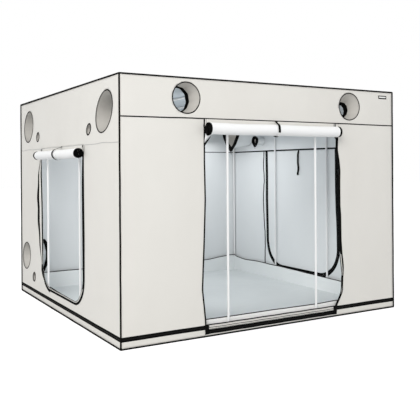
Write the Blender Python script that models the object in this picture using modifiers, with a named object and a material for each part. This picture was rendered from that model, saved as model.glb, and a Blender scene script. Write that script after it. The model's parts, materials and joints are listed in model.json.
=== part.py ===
"""A walk-in indoor grow tent: a frame of steel tubes inside a zipped cloth cover.

Metres, +Z up. The origin is the centre of the footprint, on the floor. The front wall faces -Y.
Each wall has an empty at floor level on the middle of its outer face. In the frame of that empty,
x runs along the wall from left to right as seen from outside, y is up and z is out of the tent.
"""

from collections import namedtuple
from itertools import pairwise
from math import atan2, cos, hypot, pi, radians, sin, tau

import bmesh
import bpy

# The tent over its cloth
TENT_WIDTH = 3.0
TENT_DEPTH = 3.0
TENT_HEIGHT = 2.2

# Cloth, gaps and trim
CLOTH = 0.002
SLEEVE_CLOTH = 0.0015
REST_GAP = 0.0003
WELD_share = 0.1
PIPING = 0.012
PIPING_LIFT = 0.001
BASE_ZIP_HEIGHT = 0.038
BASE_ZIP_BOTTOM = 0.064
BASE_ZIP_THICKNESS = 0.0025
THRESHOLD_ZIP_BOTTOM = 0.024
THRESHOLD_END_WIDTH = 0.04

# Frame tubes and their fittings
TUBE_DIAMETER = 0.022
TUBE_WALL = 0.001
SOCKET_WALL = 0.002
SOCKET_LENGTH = 0.06
SOCKET_FLOOR = 0.015
TEE_LENGTH = 0.06
TUBE_SIDES = 12
POST_PLACE_share = 1 / 6
CORE_REACH_share = 0.6
FRONT_POST_SHIFT = 0.018

# Roof bars
BAR_PLACE = 0.25
BAR_SLEEVE_LENGTH = 0.04

# Front doorway and side doorways: the seam over each hangs by its drop from the roof
FRONT_SEAM_DROP = 0.34
FRONT_DOOR_BOTTOM = 0.105
FRONT_DOOR_WIDTH = 1.53
FRONT_DOOR_OFFSET = 0.02
SIDE_SEAM_DROP = 0.545
SIDE_DOOR_BOTTOM = 0.17
SIDE_DOOR_CORNER = 0.28
LEFT_DOOR_WIDTH = 1.33
LEFT_DOOR_OFFSET = 0.005
RIGHT_DOOR_WIDTH = 1.4
RIGHT_DOOR_OFFSET = 0.02
CORNER_STEPS = 6
ZIP_GAP = 0.005

# Rolled doors: the middle of each hangs by its drop from the seam
FRONT_ROLL_DIAMETER = 0.112
FRONT_ROLL_DROP = 0.082
FRONT_ROLL_OFFSET = 0.002
FRONT_ROLL_SIDE_GAP = 0.039
LEFT_ROLL_DIAMETER = 0.1
LEFT_ROLL_DROP = 0.07
LEFT_ROLL_OFFSET = 0.025
LEFT_ROLL_SIDE_GAP = 0.005
ROLL_WALL_GAP = 0.004
ROLL_CORE = 0.008
ROLL_STEPS = 20

# Straps
STRAP_WIDTH = 0.02
STRAP_THICKNESS = 0.0015
STRAP_SEWN = 0.018
STRAP_STEPS = 16
FRONT_STRAP_OFFSET = -0.01
LEFT_STRAP_OFFSET = 0.045
LOOSE_STRAP_LENGTH = 0.31
LOOSE_STRAP_OFFSET = 0.03
LOOSE_STRAP_WAVE = 0.002
LOOSE_STRAP_STEPS = 8

# Vents: radius, sleeve length and places on the walls, the high ones by their drop from the roof
FRONT_VENT_RADIUS = 0.135
LARGE_VENT_RADIUS = 0.187
LOW_VENT_RADIUS = 0.165
PORT_RADIUS = 0.0565
FRONT_SLEEVE_LENGTH = 0.12
LARGE_SLEEVE_LENGTH = 0.25
LOW_SLEEVE_LENGTH = 0.2
PORT_SLEEVE_LENGTH = 0.12
SLEEVE_FLANGE = 0.006
SLEEVE_INSET = 0.002
VENT_SIDES = 20
PORT_SIDES = 12
FRONT_VENT_PLACE = 0.905
FRONT_VENT_DROP = 0.17
LARGE_VENT_PLACE = 1.17
LARGE_VENT_DROP = 0.28
PORT_PLACE = 0.8
PORT_DROP = 0.41
LOW_VENT_PLACE = 1.289
LOW_VENT_HEIGHT = 0.44
LOW_PORT_PLACE = 0.98
LOW_PORT_HEIGHT = 0.235
SLEEVE_RING_shares = (0.0, 0.5, 1.0)
DRAWN_MOUTH_share = 0.65
OPEN_MOUTH_share = 1.0
SLEEVE_PINCH_share = 0.8
SLEEVE_DROOP_share = 0.34

# Spill tray
TRAY_HEIGHT = 0.17

# Zip sliders
SLIDER_HEIGHT = 0.024
SLIDER_DEPTH = 0.009
SLIDER_GRIP = 0.01
SLIDER_NOSE = 0.004
PULL_LENGTH = 0.032
PULL_WIDTH = 0.008
PULL_THICKNESS = 0.002
FRONT_SLIDER_DROP = 0.06
SIDE_SLIDER_DROP = 0.06

# Worked out from the sizes above
CUT_OVERRUN = TUBE_DIAMETER
TUBE_RADIUS = TUBE_DIAMETER / 2
SOCKET_BORE = TUBE_RADIUS + REST_GAP
SOCKET_RADIUS = SOCKET_BORE + SOCKET_WALL
FRAME_INSET = PIPING / 2 + REST_GAP + SOCKET_RADIUS
FRAME_X = TENT_WIDTH / 2 - FRAME_INSET
FRAME_Y = TENT_DEPTH / 2 - FRAME_INSET
FRAME_BOTTOM = CLOTH + REST_GAP + SOCKET_RADIUS
FRAME_TOP = TENT_HEIGHT - FRAME_INSET
TUBE_START = SOCKET_FLOOR + REST_GAP
PANEL_TRIM = PIPING / 2 + REST_GAP
PANEL_BOTTOM = PIPING_LIFT + PIPING + REST_GAP
FRONT_SEAM = TENT_HEIGHT - FRONT_SEAM_DROP
SIDE_SEAM = TENT_HEIGHT - SIDE_SEAM_DROP
FRONT_VENT_HEIGHT = TENT_HEIGHT - FRONT_VENT_DROP
LARGE_VENT_HEIGHT = TENT_HEIGHT - LARGE_VENT_DROP
PORT_HEIGHT = TENT_HEIGHT - PORT_DROP

# Reach of each wall from the middle, half its length, and its turn about Z
REACH = {
    "front": TENT_DEPTH / 2,
    "right": TENT_WIDTH / 2,
    "back": TENT_DEPTH / 2,
    "left": TENT_WIDTH / 2,
}
HALF_LENGTH = {
    "front": TENT_WIDTH / 2,
    "right": TENT_DEPTH / 2,
    "back": TENT_WIDTH / 2,
    "left": TENT_DEPTH / 2,
}
TURN = {"front": 0.0, "right": pi / 2, "back": pi, "left": -pi / 2}

# Width and middle of each side doorway
SIDE_DOOR = {
    "left": (LEFT_DOOR_WIDTH, LEFT_DOOR_OFFSET),
    "right": (RIGHT_DOOR_WIDTH, RIGHT_DOOR_OFFSET),
}

Vent = namedtuple("Vent", "name along height radius length mouth droop sides")

# Finish: colour, roughness, metallic
WHITE_CLOTH = ((0.78, 0.77, 0.73), 0.7, 0.0)
LINING = ((0.55, 0.6, 0.63), 0.45, 0.1)
BLACK_TAPE = ((0.012, 0.012, 0.012), 0.75, 0.0)
WHITE_TUBE = ((0.88, 0.88, 0.88), 0.3, 0.0)
BLACK_METAL = ((0.02, 0.02, 0.02), 0.35, 0.8)


# Scene and object helpers


def clear_scene():
    for old in list(bpy.data.objects):
        bpy.data.objects.remove(old, do_unlink=True)


def new_collection(name):
    collection = bpy.data.collections.new(name)
    bpy.context.scene.collection.children.link(collection)
    return collection


def add(name, data, collection):
    obj = bpy.data.objects.new(name, data)
    collection.objects.link(obj)
    return obj


def finish(obj, look):
    colour, roughness, metallic = look
    material = bpy.data.materials.new(obj.name + "_finish")
    material.use_nodes = True
    shader = material.node_tree.nodes["Principled BSDF"]
    shader.inputs["Base Color"].default_value = (*colour, 1.0)
    shader.inputs["Roughness"].default_value = roughness
    shader.inputs["Metallic"].default_value = metallic
    material.diffuse_color = (*colour, 1.0)
    if obj.data.users > 1:
        obj.material_slots[0].link = "OBJECT"
        obj.material_slots[0].material = material
    else:
        obj.data.materials.clear()
        obj.data.materials.append(material)


def place(name, data, parent, location, rotation, look):
    """A piece of the tent, in the frame of its parent."""
    obj = add(name, data, TENT)
    obj.parent = parent
    obj.location = location
    obj.rotation_euler = rotation
    finish(obj, look)
    return obj


def wall_empty(side):
    empty = add(side + "_side", None, TENT)
    turn = TURN[side]
    empty.location = (REACH[side] * sin(turn), -REACH[side] * cos(turn), 0)
    empty.rotation_euler = (pi / 2, 0, turn)
    return empty


# Shapes


def mesh_of(form, name):
    mesh = bpy.data.meshes.new(name)
    form.to_mesh(mesh)
    form.free()
    mesh.materials.append(None)
    return mesh


def block(name, low, high):
    """A box between two corners, as a helper object."""
    form = bmesh.new()
    bmesh.ops.create_cube(form, size=1)
    spans = [b - a for a, b in zip(low, high)]
    middles = [(a + b) / 2 for a, b in zip(low, high)]
    bmesh.ops.scale(form, vec=spans, verts=form.verts)
    bmesh.ops.translate(form, vec=middles, verts=form.verts)
    return add(name, mesh_of(form, name), HELPERS)


def rod(name, radius, start, end, rotation=(0, 0, 0), location=(0, 0, 0)):
    """A solid cylinder along its own Z from start to end, as a helper object."""
    form = bmesh.new()
    bmesh.ops.create_cone(
        form,
        cap_ends=True,
        segments=TUBE_SIDES,
        radius1=radius,
        radius2=radius,
        depth=end - start,
    )
    bmesh.ops.translate(form, vec=(0, 0, (start + end) / 2), verts=form.verts)
    obj = add(name, mesh_of(form, name), HELPERS)
    obj.rotation_euler = rotation
    obj.location = location
    return obj


def evaluated_mesh(obj, name):
    bpy.context.view_layer.update()
    graph = bpy.context.evaluated_depsgraph_get()
    mesh = bpy.data.meshes.new_from_object(obj.evaluated_get(graph))
    mesh.name = name
    if not mesh.materials:
        mesh.materials.append(None)
    return mesh


def combined(name, base, joined=(), cut=()):
    """One mesh of a base helper with others joined to it and cut from it. It uses them all up."""
    for operation, others in (("UNION", joined), ("DIFFERENCE", cut)):
        for other in others:
            step = base.modifiers.new(other.name, "BOOLEAN")
            step.operation = operation
            step.object = other
    mesh = evaluated_mesh(base, name)
    for used in (base, *joined, *cut):
        bpy.data.objects.remove(used, do_unlink=True)
    return mesh


def smooth(mesh):
    mesh.shade_smooth()
    mesh.set_sharp_from_angle(angle=radians(40))
    return mesh


def tube_mesh(name, length):
    """A hollow frame tube along Z, centred on it."""
    form = bmesh.new()
    bmesh.ops.create_circle(form, segments=TUBE_SIDES, radius=TUBE_RADIUS)
    bmesh.ops.translate(form, vec=(0, 0, -length / 2), verts=form.verts)
    rise = bmesh.ops.extrude_edge_only(form, edges=form.edges)
    raised = [part for part in rise["geom"] if isinstance(part, bmesh.types.BMVert)]
    bmesh.ops.translate(form, vec=(0, 0, length), verts=raised)
    bmesh.ops.recalc_face_normals(form, faces=form.faces)
    shell = add(name, mesh_of(form, name), HELPERS)
    wall = shell.modifiers.new("Wall", "SOLIDIFY")
    wall.thickness = TUBE_WALL
    wall.offset = -1
    wall.use_even_offset = True
    return smooth(combined(name, shell))


def plate(name, outlines, thickness):
    """A flat sheet from closed outlines in its XY plane: the first is its edge and the rest are holes."""
    curve = bpy.data.curves.new(name, "CURVE")
    curve.dimensions = "2D"
    curve.fill_mode = "BOTH"
    curve.extrude = thickness / 2
    for outline in outlines:
        spline = curve.splines.new("POLY")
        spline.points.add(len(outline) - 1)
        spline.use_cyclic_u = True
        for point, (x, y) in zip(spline.points, outline):
            point.co = (x, y, 0, 1)
    curve.materials.append(None)
    return curve


def rectangle(left, right, bottom, top):
    return [(left, bottom), (right, bottom), (right, top), (left, top)]


def doorway(left, right, bottom, top, corner):
    """A doorway with square upper corners and round lower ones."""
    outline = [(right, top), (left, top)]
    for middle, start in ((left + corner, pi), (right - corner, pi * 3 / 2)):
        for step in range(CORNER_STEPS + 1):
            angle = start + pi / 2 * step / CORNER_STEPS
            outline.append((middle + corner * cos(angle), bottom + corner + corner * sin(angle)))
    return outline


def circle(x, y, radius, sides):
    return [(x + radius * cos(tau * i / sides), y + radius * sin(tau * i / sides)) for i in range(sides)]


def strip(line, thickness):
    """The outline of a strip of even thickness along an open line."""
    left, right = [], []
    for i, (x, y) in enumerate(line):
        before = line[max(i - 1, 0)]
        after = line[min(i + 1, len(line) - 1)]
        run = hypot(after[0] - before[0], after[1] - before[1])
        across = (-(after[1] - before[1]) / run, (after[0] - before[0]) / run)
        left.append((x + across[0] * thickness / 2, y + across[1] * thickness / 2))
        right.append((x - across[0] * thickness / 2, y - across[1] * thickness / 2))
    return left + right[::-1]


# Frame


def corner_connector_mesh():
    """Three sockets at right angles, along +X, +Y and +Z."""
    turns = ((0, 0, 0), (0, pi / 2, 0), (-pi / 2, 0, 0))
    start = -SOCKET_RADIUS * CORE_REACH_share
    stubs = [rod(f"stub_{i}", SOCKET_RADIUS, start, SOCKET_LENGTH, turn) for i, turn in enumerate(turns)]
    bore_end = SOCKET_LENGTH + CUT_OVERRUN
    bores = [rod(f"bore_{i}", SOCKET_BORE, SOCKET_FLOOR, bore_end, turn) for i, turn in enumerate(turns)]
    return smooth(combined("corner_connector", stubs[0], stubs[1:], bores))


def corner_connectors():
    mesh = corner_connector_mesh()
    turns = {
        "front_left": (-FRAME_X, -FRAME_Y, 0, pi / 2),
        "front_right": (FRAME_X, -FRAME_Y, pi / 2, pi),
        "back_right": (FRAME_X, FRAME_Y, pi, -pi / 2),
        "back_left": (-FRAME_X, FRAME_Y, -pi / 2, 0),
    }
    for corner, (x, y, low_turn, high_turn) in turns.items():
        place(f"bottom_connector_{corner}", mesh, None, (x, y, FRAME_BOTTOM), (0, 0, low_turn), WHITE_TUBE)
        place(f"top_connector_{corner}", mesh, None, (x, y, FRAME_TOP), (pi, 0, high_turn), WHITE_TUBE)


def corner_posts():
    length = FRAME_TOP - FRAME_BOTTOM - 2 * TUBE_START
    middle = (FRAME_TOP + FRAME_BOTTOM) / 2
    mesh = tube_mesh("corner_post", length)
    for end, y in (("front", -FRAME_Y), ("back", FRAME_Y)):
        for side, x in (("left", -FRAME_X), ("right", FRAME_X)):
            place(f"corner_post_{end}_{side}", mesh, None, (x, y, middle), (0, 0, 0), WHITE_TUBE)


def rails():
    across = tube_mesh("cross_rail", 2 * (FRAME_X - TUBE_START))
    along = tube_mesh("side_rail", 2 * (FRAME_Y - TUBE_START))
    runs = {
        "front": (across, (0, -FRAME_Y), (0, pi / 2, 0)),
        "back": (across, (0, FRAME_Y), (0, pi / 2, 0)),
        "left": (along, (-FRAME_X, 0), (pi / 2, 0, 0)),
        "right": (along, (FRAME_X, 0), (pi / 2, 0, 0)),
    }
    for side, (mesh, spot, turn) in runs.items():
        for level, height in (("bottom", FRAME_BOTTOM), ("top", FRAME_TOP)):
            place(f"{level}_rail_{side}", mesh, None, (*spot, height), turn, WHITE_TUBE)


def wall_post_mesh():
    """An upright tube with a tee sleeve across each end, open into the bores of the sleeves."""
    rise = FRAME_TOP - FRAME_BOTTOM
    lying = (0, pi / 2, 0)
    half = TEE_LENGTH / 2
    upright = rod("upright", TUBE_RADIUS, 0, rise)
    sleeves, bores = [], [rod("hollow", TUBE_RADIUS - TUBE_WALL, 0, rise)]
    for level, height in (("low", 0), ("high", rise)):
        spot = (0, 0, height)
        sleeves.append(rod(f"{level}_sleeve", SOCKET_RADIUS, -half, half, lying, spot))
        reach = half + CUT_OVERRUN
        bores.append(rod(f"{level}_bore", SOCKET_BORE, -reach, reach, lying, spot))
    return smooth(combined("wall_post", upright, sleeves, bores))


def wall_posts():
    mesh = wall_post_mesh()
    x = TENT_WIDTH * POST_PLACE_share
    y = TENT_DEPTH * POST_PLACE_share
    spots = {
        "front_post_left": (FRONT_POST_SHIFT - x, -FRAME_Y, 0),
        "front_post_right": (x, -FRAME_Y, 0),
        "back_post_left": (-x, FRAME_Y, 0),
        "back_post_right": (x, FRAME_Y, 0),
        "left_post_front": (-FRAME_X, -y, pi / 2),
        "left_post_back": (-FRAME_X, y, pi / 2),
        "right_post_front": (FRAME_X, -y, pi / 2),
        "right_post_back": (FRAME_X, y, pi / 2),
    }
    for name, (px, py, turn) in spots.items():
        place(name, mesh, None, (px, py, FRAME_BOTTOM), (0, 0, turn), WHITE_TUBE)


def roof_bars():
    """Bars along Y that slide on the front and back top rails by a sleeve at each end."""
    lying_x = (0, pi / 2, 0)
    lying_y = (pi / 2, 0, 0)
    half = BAR_SLEEVE_LENGTH / 2
    bar = rod("bar", TUBE_RADIUS, -FRAME_Y, FRAME_Y, lying_y)
    sleeves, bores = [], [rod("bar_bore", TUBE_RADIUS - TUBE_WALL, -FRAME_Y, FRAME_Y, lying_y)]
    for end, y in (("front", -FRAME_Y), ("back", FRAME_Y)):
        sleeves.append(rod(f"{end}_sleeve", SOCKET_RADIUS, -half, half, lying_x, (0, y, 0)))
        reach = half + CUT_OVERRUN
        bores.append(rod(f"{end}_bore", SOCKET_BORE, -reach, reach, lying_x, (0, y, 0)))
    mesh = smooth(combined("roof_bar", bar, sleeves, bores))
    for side, x in (("left", -BAR_PLACE), ("right", BAR_PLACE)):
        place(f"roof_bar_{side}", mesh, None, (x, 0, FRAME_TOP), lying_y, WHITE_TUBE)


# Cover


def vents_of(side):
    """The vents of a wall, with the place of each along it."""
    drawn = (DRAWN_MOUTH_share, 0.0)
    limp = (OPEN_MOUTH_share, SLEEVE_DROOP_share)
    if side == "front":
        duct = (FRONT_VENT_HEIGHT, FRONT_VENT_RADIUS, FRONT_SLEEVE_LENGTH, *drawn, VENT_SIDES)
        places = {"left": -FRONT_VENT_PLACE, "right": FRONT_VENT_PLACE}
        return [Vent(f"front_duct_sleeve_{end}", along, *duct) for end, along in places.items()]
    if side == "back":
        return []
    found = []
    to_front = 1 if side == "left" else -1
    for end, way in (("front", to_front), ("back", -to_front)):
        duct = (way * LARGE_VENT_PLACE, LARGE_VENT_HEIGHT, LARGE_VENT_RADIUS, LARGE_SLEEVE_LENGTH)
        port = (way * PORT_PLACE, PORT_HEIGHT, PORT_RADIUS, PORT_SLEEVE_LENGTH)
        found.append(Vent(f"{side}_duct_sleeve_{end}", *duct, *limp, VENT_SIDES))
        found.append(Vent(f"{side}_port_sleeve_{end}", *port, *limp, PORT_SIDES))
    if side == "left":
        duct = (-LOW_VENT_PLACE, LOW_VENT_HEIGHT, LOW_VENT_RADIUS, LOW_SLEEVE_LENGTH)
        port = (-LOW_PORT_PLACE, LOW_PORT_HEIGHT, PORT_RADIUS, PORT_SLEEVE_LENGTH)
        found.append(Vent("left_duct_sleeve_low", *duct, *limp, VENT_SIDES))
        found.append(Vent("left_port_sleeve_low", *port, *limp, PORT_SIDES))
    return found


def doorways_of(side, inset=0.0):
    """The doorway outlines of a wall, drawn in by an inset at the sides and the bottom."""
    if side == "front":
        half = FRONT_DOOR_WIDTH / 2
        return [rectangle(FRONT_DOOR_OFFSET - half, FRONT_DOOR_OFFSET + half, FRONT_DOOR_BOTTOM, FRONT_SEAM)]
    if side == "back":
        return []
    width, middle = SIDE_DOOR[side]
    half = width / 2 - inset
    bottom = SIDE_DOOR_BOTTOM + inset
    return [doorway(middle - half, middle + half, bottom, SIDE_SEAM, SIDE_DOOR_CORNER - inset)]


def walls():
    top = TENT_HEIGHT - PANEL_TRIM
    for side in WALLS:
        half = HALF_LENGTH[side] - PANEL_TRIM
        outlines = [rectangle(-half, half, PANEL_BOTTOM, top), *doorways_of(side)]
        for vent in vents_of(side):
            outlines.append(circle(vent.along, vent.height, vent.radius, vent.sides))
        name = f"{side}_wall"
        panel = plate(name, outlines, CLOTH)
        place(name, panel, SIDE_FRAME[side], (0, 0, -CLOTH / 2), (0, 0, 0), WHITE_CLOTH)


def roof_and_floor():
    half_x = TENT_WIDTH / 2 - PANEL_TRIM
    half_y = TENT_DEPTH / 2 - PANEL_TRIM
    outline = [rectangle(-half_x, half_x, -half_y, half_y)]
    roof = plate("roof_panel", outline, CLOTH)
    place("roof_panel", roof, None, (0, 0, TENT_HEIGHT - CLOTH / 2), (0, 0, 0), WHITE_CLOTH)
    place("floor_sheet", plate("floor_sheet", outline, CLOTH), None, (0, 0, CLOTH / 2), (0, 0, 0), LINING)


def spill_tray():
    """An open tray inside the frame, resting on the floor sheet."""
    half_x = FRAME_X - SOCKET_RADIUS - REST_GAP
    half_y = FRAME_Y - SOCKET_RADIUS - REST_GAP
    form = bmesh.new()
    bmesh.ops.create_cube(form, size=1)
    lid = [max(form.faces, key=lambda face: face.normal.z)]
    bmesh.ops.delete(form, geom=lid, context="FACES_ONLY")
    bmesh.ops.scale(form, vec=(2 * half_x, 2 * half_y, TRAY_HEIGHT), verts=form.verts)
    bmesh.ops.translate(form, vec=(0, 0, TRAY_HEIGHT / 2), verts=form.verts)
    tray = place("spill_tray", mesh_of(form, "spill_tray"), None, (0, 0, CLOTH + REST_GAP), (0, 0, 0), LINING)
    wall = tray.modifiers.new("Wall", "SOLIDIFY")
    wall.thickness = CLOTH
    wall.offset = -1
    wall.use_even_offset = True


def edge_piping():
    """Square piping on the twelve edges, joined by the zip band round the base."""
    x = TENT_WIDTH / 2 + PIPING / 2
    y = TENT_DEPTH / 2 + PIPING / 2
    top = TENT_HEIGHT + PIPING / 2
    inner_x, inner_y = x - PIPING, y - PIPING
    low, high = PIPING_LIFT + PIPING, top - PIPING
    past_x, past_y, past_top = x + CUT_OVERRUN, y + CUT_OVERRUN, top + CUT_OVERRUN
    cage = block("cage", (-x, -y, PIPING_LIFT), (x, y, top))
    cuts = [
        block("through_x", (-past_x, -inner_y, low), (past_x, inner_y, high)),
        block("through_y", (-inner_x, -past_y, low), (inner_x, past_y, high)),
        block("through_z", (-inner_x, -inner_y, -CUT_OVERRUN), (inner_x, inner_y, past_top)),
    ]
    cage_mesh = combined("edge_piping", cage, (), cuts)
    cage = add("cage", cage_mesh, HELPERS)
    bands = [zip_band(side) for side in WALLS]
    mesh = combined("edge_piping", cage, bands)
    place("edge_piping", mesh, None, (0, 0, 0), (0, 0, 0), BLACK_TAPE)


def zip_band(side):
    """The stretch of the base zip on one wall, which steps down under the front doorway."""
    half = HALF_LENGTH[side]
    top = BASE_ZIP_BOTTOM + BASE_ZIP_HEIGHT
    outline = [(half, BASE_ZIP_BOTTOM), (half, top), (-half, top), (-half, BASE_ZIP_BOTTOM)]
    if side == "front":
        step_top = THRESHOLD_ZIP_BOTTOM + BASE_ZIP_HEIGHT
        door = FRONT_DOOR_WIDTH / 2
        left, right = FRONT_DOOR_OFFSET - door, FRONT_DOOR_OFFSET + door
        inner_left, inner_right = left + THRESHOLD_END_WIDTH, right - THRESHOLD_END_WIDTH
        outline = [
            (half, BASE_ZIP_BOTTOM), (half, top), (inner_right, top), (inner_right, step_top),
            (inner_left, step_top), (inner_left, top), (-half, top), (-half, BASE_ZIP_BOTTOM),
            (left, BASE_ZIP_BOTTOM), (left, THRESHOLD_ZIP_BOTTOM), (right, THRESHOLD_ZIP_BOTTOM),
            (right, BASE_ZIP_BOTTOM),
        ]
    flat = add(f"{side}_band_flat", plate(f"{side}_band", [outline], BASE_ZIP_THICKNESS), HELPERS)
    flat.parent = SIDE_FRAME[side]
    flat.location = (0, 0, REST_GAP + BASE_ZIP_THICKNESS / 2)
    band = add(f"{side}_band", evaluated_mesh(flat, f"{side}_band"), HELPERS)
    form = bmesh.new()
    form.from_mesh(band.data)
    bmesh.ops.transform(form, matrix=flat.matrix_world, verts=form.verts)
    bmesh.ops.remove_doubles(form, verts=form.verts, dist=REST_GAP * WELD_share)
    form.to_mesh(band.data)
    form.free()
    bpy.data.objects.remove(flat, do_unlink=True)
    return band


# Doors and straps

# A section across a roll or a strap is drawn with x out of the tent and y up, then turned so that its
# width runs along the wall.
SECTION_TURN = (0, -pi / 2, 0)


def rolled_door(name, side, offset, width, seam, bottom, diameter, drop):
    """A door rolled outwards from its bottom: the spiral has the turns that the length of cloth gives."""
    outer = (diameter - CLOTH) / 2
    turns = (seam - bottom) / (pi * (outer + ROLL_CORE))
    pitch = (outer - ROLL_CORE) / turns
    centre_out = roll_reach(diameter)
    line = [(REST_GAP + CLOTH / 2 - centre_out, drop - REST_GAP), (-outer, 0.0)]
    steps = int(turns * ROLL_STEPS)
    for step in range(1, steps + 1):
        angle = pi + tau * step / ROLL_STEPS
        radius = outer - pitch * step / ROLL_STEPS
        line.append((radius * cos(angle), radius * sin(angle)))
    print(f"{name}: {turns:.1f} turns, least gap {least_gap(line[1:], CLOTH) * 1000:.2f} mm")
    roll = plate(name, [strip(line, CLOTH)], width)
    place(name, roll, SIDE_FRAME[side], (offset, seam - drop, centre_out), SECTION_TURN, WHITE_CLOTH)


def roll_reach(diameter):
    """How far out of the wall a roll's middle lies."""
    return ROLL_WALL_GAP + diameter / 2


def least_gap(line, thickness):
    """The least clear space between one turn of a roll and the next."""
    gaps = []
    for i, (x, y) in enumerate(line[:-ROLL_STEPS]):
        turn_on = line[i + ROLL_STEPS // 2 :]
        gaps.append(min(hypot(x - a, y - b) for a, b in turn_on) - thickness)
    return min(gaps)


def strap_round_roll(name, side, offset, seam, diameter, drop):
    """A strap sewn above the seam, round the front and bottom of a roll, and up behind it."""
    centre_out = roll_reach(diameter)
    radius = diameter / 2 + REST_GAP + STRAP_THICKNESS / 2
    flat_out = REST_GAP + STRAP_THICKNESS / 2 - centre_out
    line = [(flat_out, drop + STRAP_SEWN), (flat_out, drop + CLOTH)]
    reach = hypot(*line[-1])
    start = atan2(line[-1][1], line[-1][0]) - tangent_angle(radius, reach)
    for step in range(STRAP_STEPS + 1):
        angle = start + (-pi - start) * step / STRAP_STEPS
        line.append((radius * cos(angle), radius * sin(angle)))
    behind = -centre_out - REST_GAP - STRAP_THICKNESS / 2
    line.append((behind, drop - REST_GAP))
    strap = plate(name, [strip(line, STRAP_THICKNESS)], STRAP_WIDTH)
    place(name, strap, SIDE_FRAME[side], (offset, seam - drop, centre_out), SECTION_TURN, BLACK_TAPE)


def tangent_angle(radius, reach):
    """The angle at a circle's middle from a point outside it to where its tangent touches."""
    return atan2((reach * reach - radius * radius) ** 0.5, radius)


def loose_strap():
    """The strap that hangs inside at the head of the closed right door, free to swing on its seam."""
    line = []
    for step in range(LOOSE_STRAP_STEPS + 1):
        share = step / LOOSE_STRAP_STEPS
        line.append((-LOOSE_STRAP_WAVE * sin(pi * share) ** 2, -LOOSE_STRAP_LENGTH * share))
    strap = plate("right_door_strap", [strip(line, STRAP_THICKNESS)], STRAP_WIDTH)
    depth = CLOTH + REST_GAP + STRAP_THICKNESS / 2
    place("right_door_strap", strap, SIDE_FRAME["right"], (LOOSE_STRAP_OFFSET, SIDE_SEAM, -depth),
          SECTION_TURN, BLACK_TAPE)


def right_door():
    """The closed door, hung from an empty on its seam, at the outer face of the wall."""
    hinge = add("right_door_hinge", None, TENT)
    hinge.parent = SIDE_FRAME["right"]
    hinge.location = (0, SIDE_SEAM, 0)
    outline = [(x, y - SIDE_SEAM) for x, y in doorways_of("right", ZIP_GAP)[0]]
    top = max(y for _, y in outline)
    outline = [(x, y - REST_GAP if y == top else y) for x, y in outline]
    door = plate("right_door", [outline], CLOTH)
    place("right_door", door, hinge, (0, 0, -CLOTH / 2), (0, 0, 0), WHITE_CLOTH)


# Sleeves


def sleeve_mesh(vent):
    """A cloth sleeve inside a vent: a flange behind the wall, then a tube whose mouth is drawn in or hangs
    to a point."""
    tube = vent.radius - SLEEVE_INSET
    start = -(CLOTH + REST_GAP + SLEEVE_CLOTH)
    rings = [[(*spot, start) for spot in circle(0, 0, vent.radius + SLEEVE_FLANGE, vent.sides)]]
    for share in SLEEVE_RING_shares:
        depth = start - (vent.length + start) * share
        wide = 1 - (1 - vent.mouth) * share
        ring = []
        for x, y in circle(0, 0, tube, vent.sides):
            low = ((1 - y / tube) / 2) ** 2
            pinch = SLEEVE_PINCH_share * low**2 * share if vent.droop else 0
            ring.append((x * wide * (1 - pinch), y * wide - vent.droop * tube * low * share, depth))
        rings.append(ring)
    form = bmesh.new()
    rows = [[form.verts.new(point) for point in ring] for ring in rings]
    for outer, inner in pairwise(rows):
        for i in range(vent.sides):
            j = (i + 1) % vent.sides
            form.faces.new((outer[i], inner[i], inner[j], outer[j]))
    shell = add(vent.name, mesh_of(form, vent.name), HELPERS)
    cloth = shell.modifiers.new("Cloth", "SOLIDIFY")
    cloth.thickness = SLEEVE_CLOTH
    cloth.offset = -1
    cloth.use_even_offset = True
    return smooth(combined(vent.name, shell))


def sleeves():
    for side in WALLS:
        for vent in vents_of(side):
            spot = (vent.along, vent.height, 0)
            place(vent.name, sleeve_mesh(vent), SIDE_FRAME[side], spot, (0, 0, 0), WHITE_CLOTH)


# Zip sliders


def slider_mesh():
    """A slider that grips a doorway's edge, which it has on its left, with its pull hanging outside."""
    deep = SLIDER_DEPTH / 2
    tall = SLIDER_HEIGHT / 2
    slot = CLOTH / 2 + REST_GAP
    body = block("body", (-SLIDER_GRIP, -tall, -deep), (SLIDER_NOSE, tall, deep))
    past = tall + CUT_OVERRUN
    edge = block("edge", (-SLIDER_GRIP - CUT_OVERRUN, -past, -slot), (REST_GAP, past, slot))
    middle = (SLIDER_NOSE - SLIDER_GRIP) / 2
    pull = block(
        "pull",
        (middle - PULL_WIDTH / 2, -PULL_LENGTH, deep - PULL_THICKNESS / 2),
        (middle + PULL_WIDTH / 2, tall / 2, deep + PULL_THICKNESS / 2),
    )
    return combined("slider", body, [pull], [edge])


def sliders():
    mesh = slider_mesh()
    front_edge = FRONT_DOOR_OFFSET - FRONT_DOOR_WIDTH / 2
    left_edge = LEFT_DOOR_OFFSET - LEFT_DOOR_WIDTH / 2
    right_edge = RIGHT_DOOR_OFFSET - RIGHT_DOOR_WIDTH / 2
    spots = {
        "front": (front_edge, FRONT_SEAM - FRONT_SLIDER_DROP),
        "left": (left_edge, SIDE_SEAM - SIDE_SLIDER_DROP),
        "right": (right_edge, SIDE_SEAM - SIDE_SLIDER_DROP),
    }
    for side, (x, height) in spots.items():
        place(f"{side}_zip_slider", mesh, SIDE_FRAME[side], (x, height, -CLOTH / 2), (0, 0, 0), BLACK_METAL)


clear_scene()
TENT = new_collection("indoor_grow_tent")
HELPERS = new_collection("helpers")
WALLS = ("front", "right", "back", "left")
SIDE_FRAME = {side: wall_empty(side) for side in WALLS}

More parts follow.
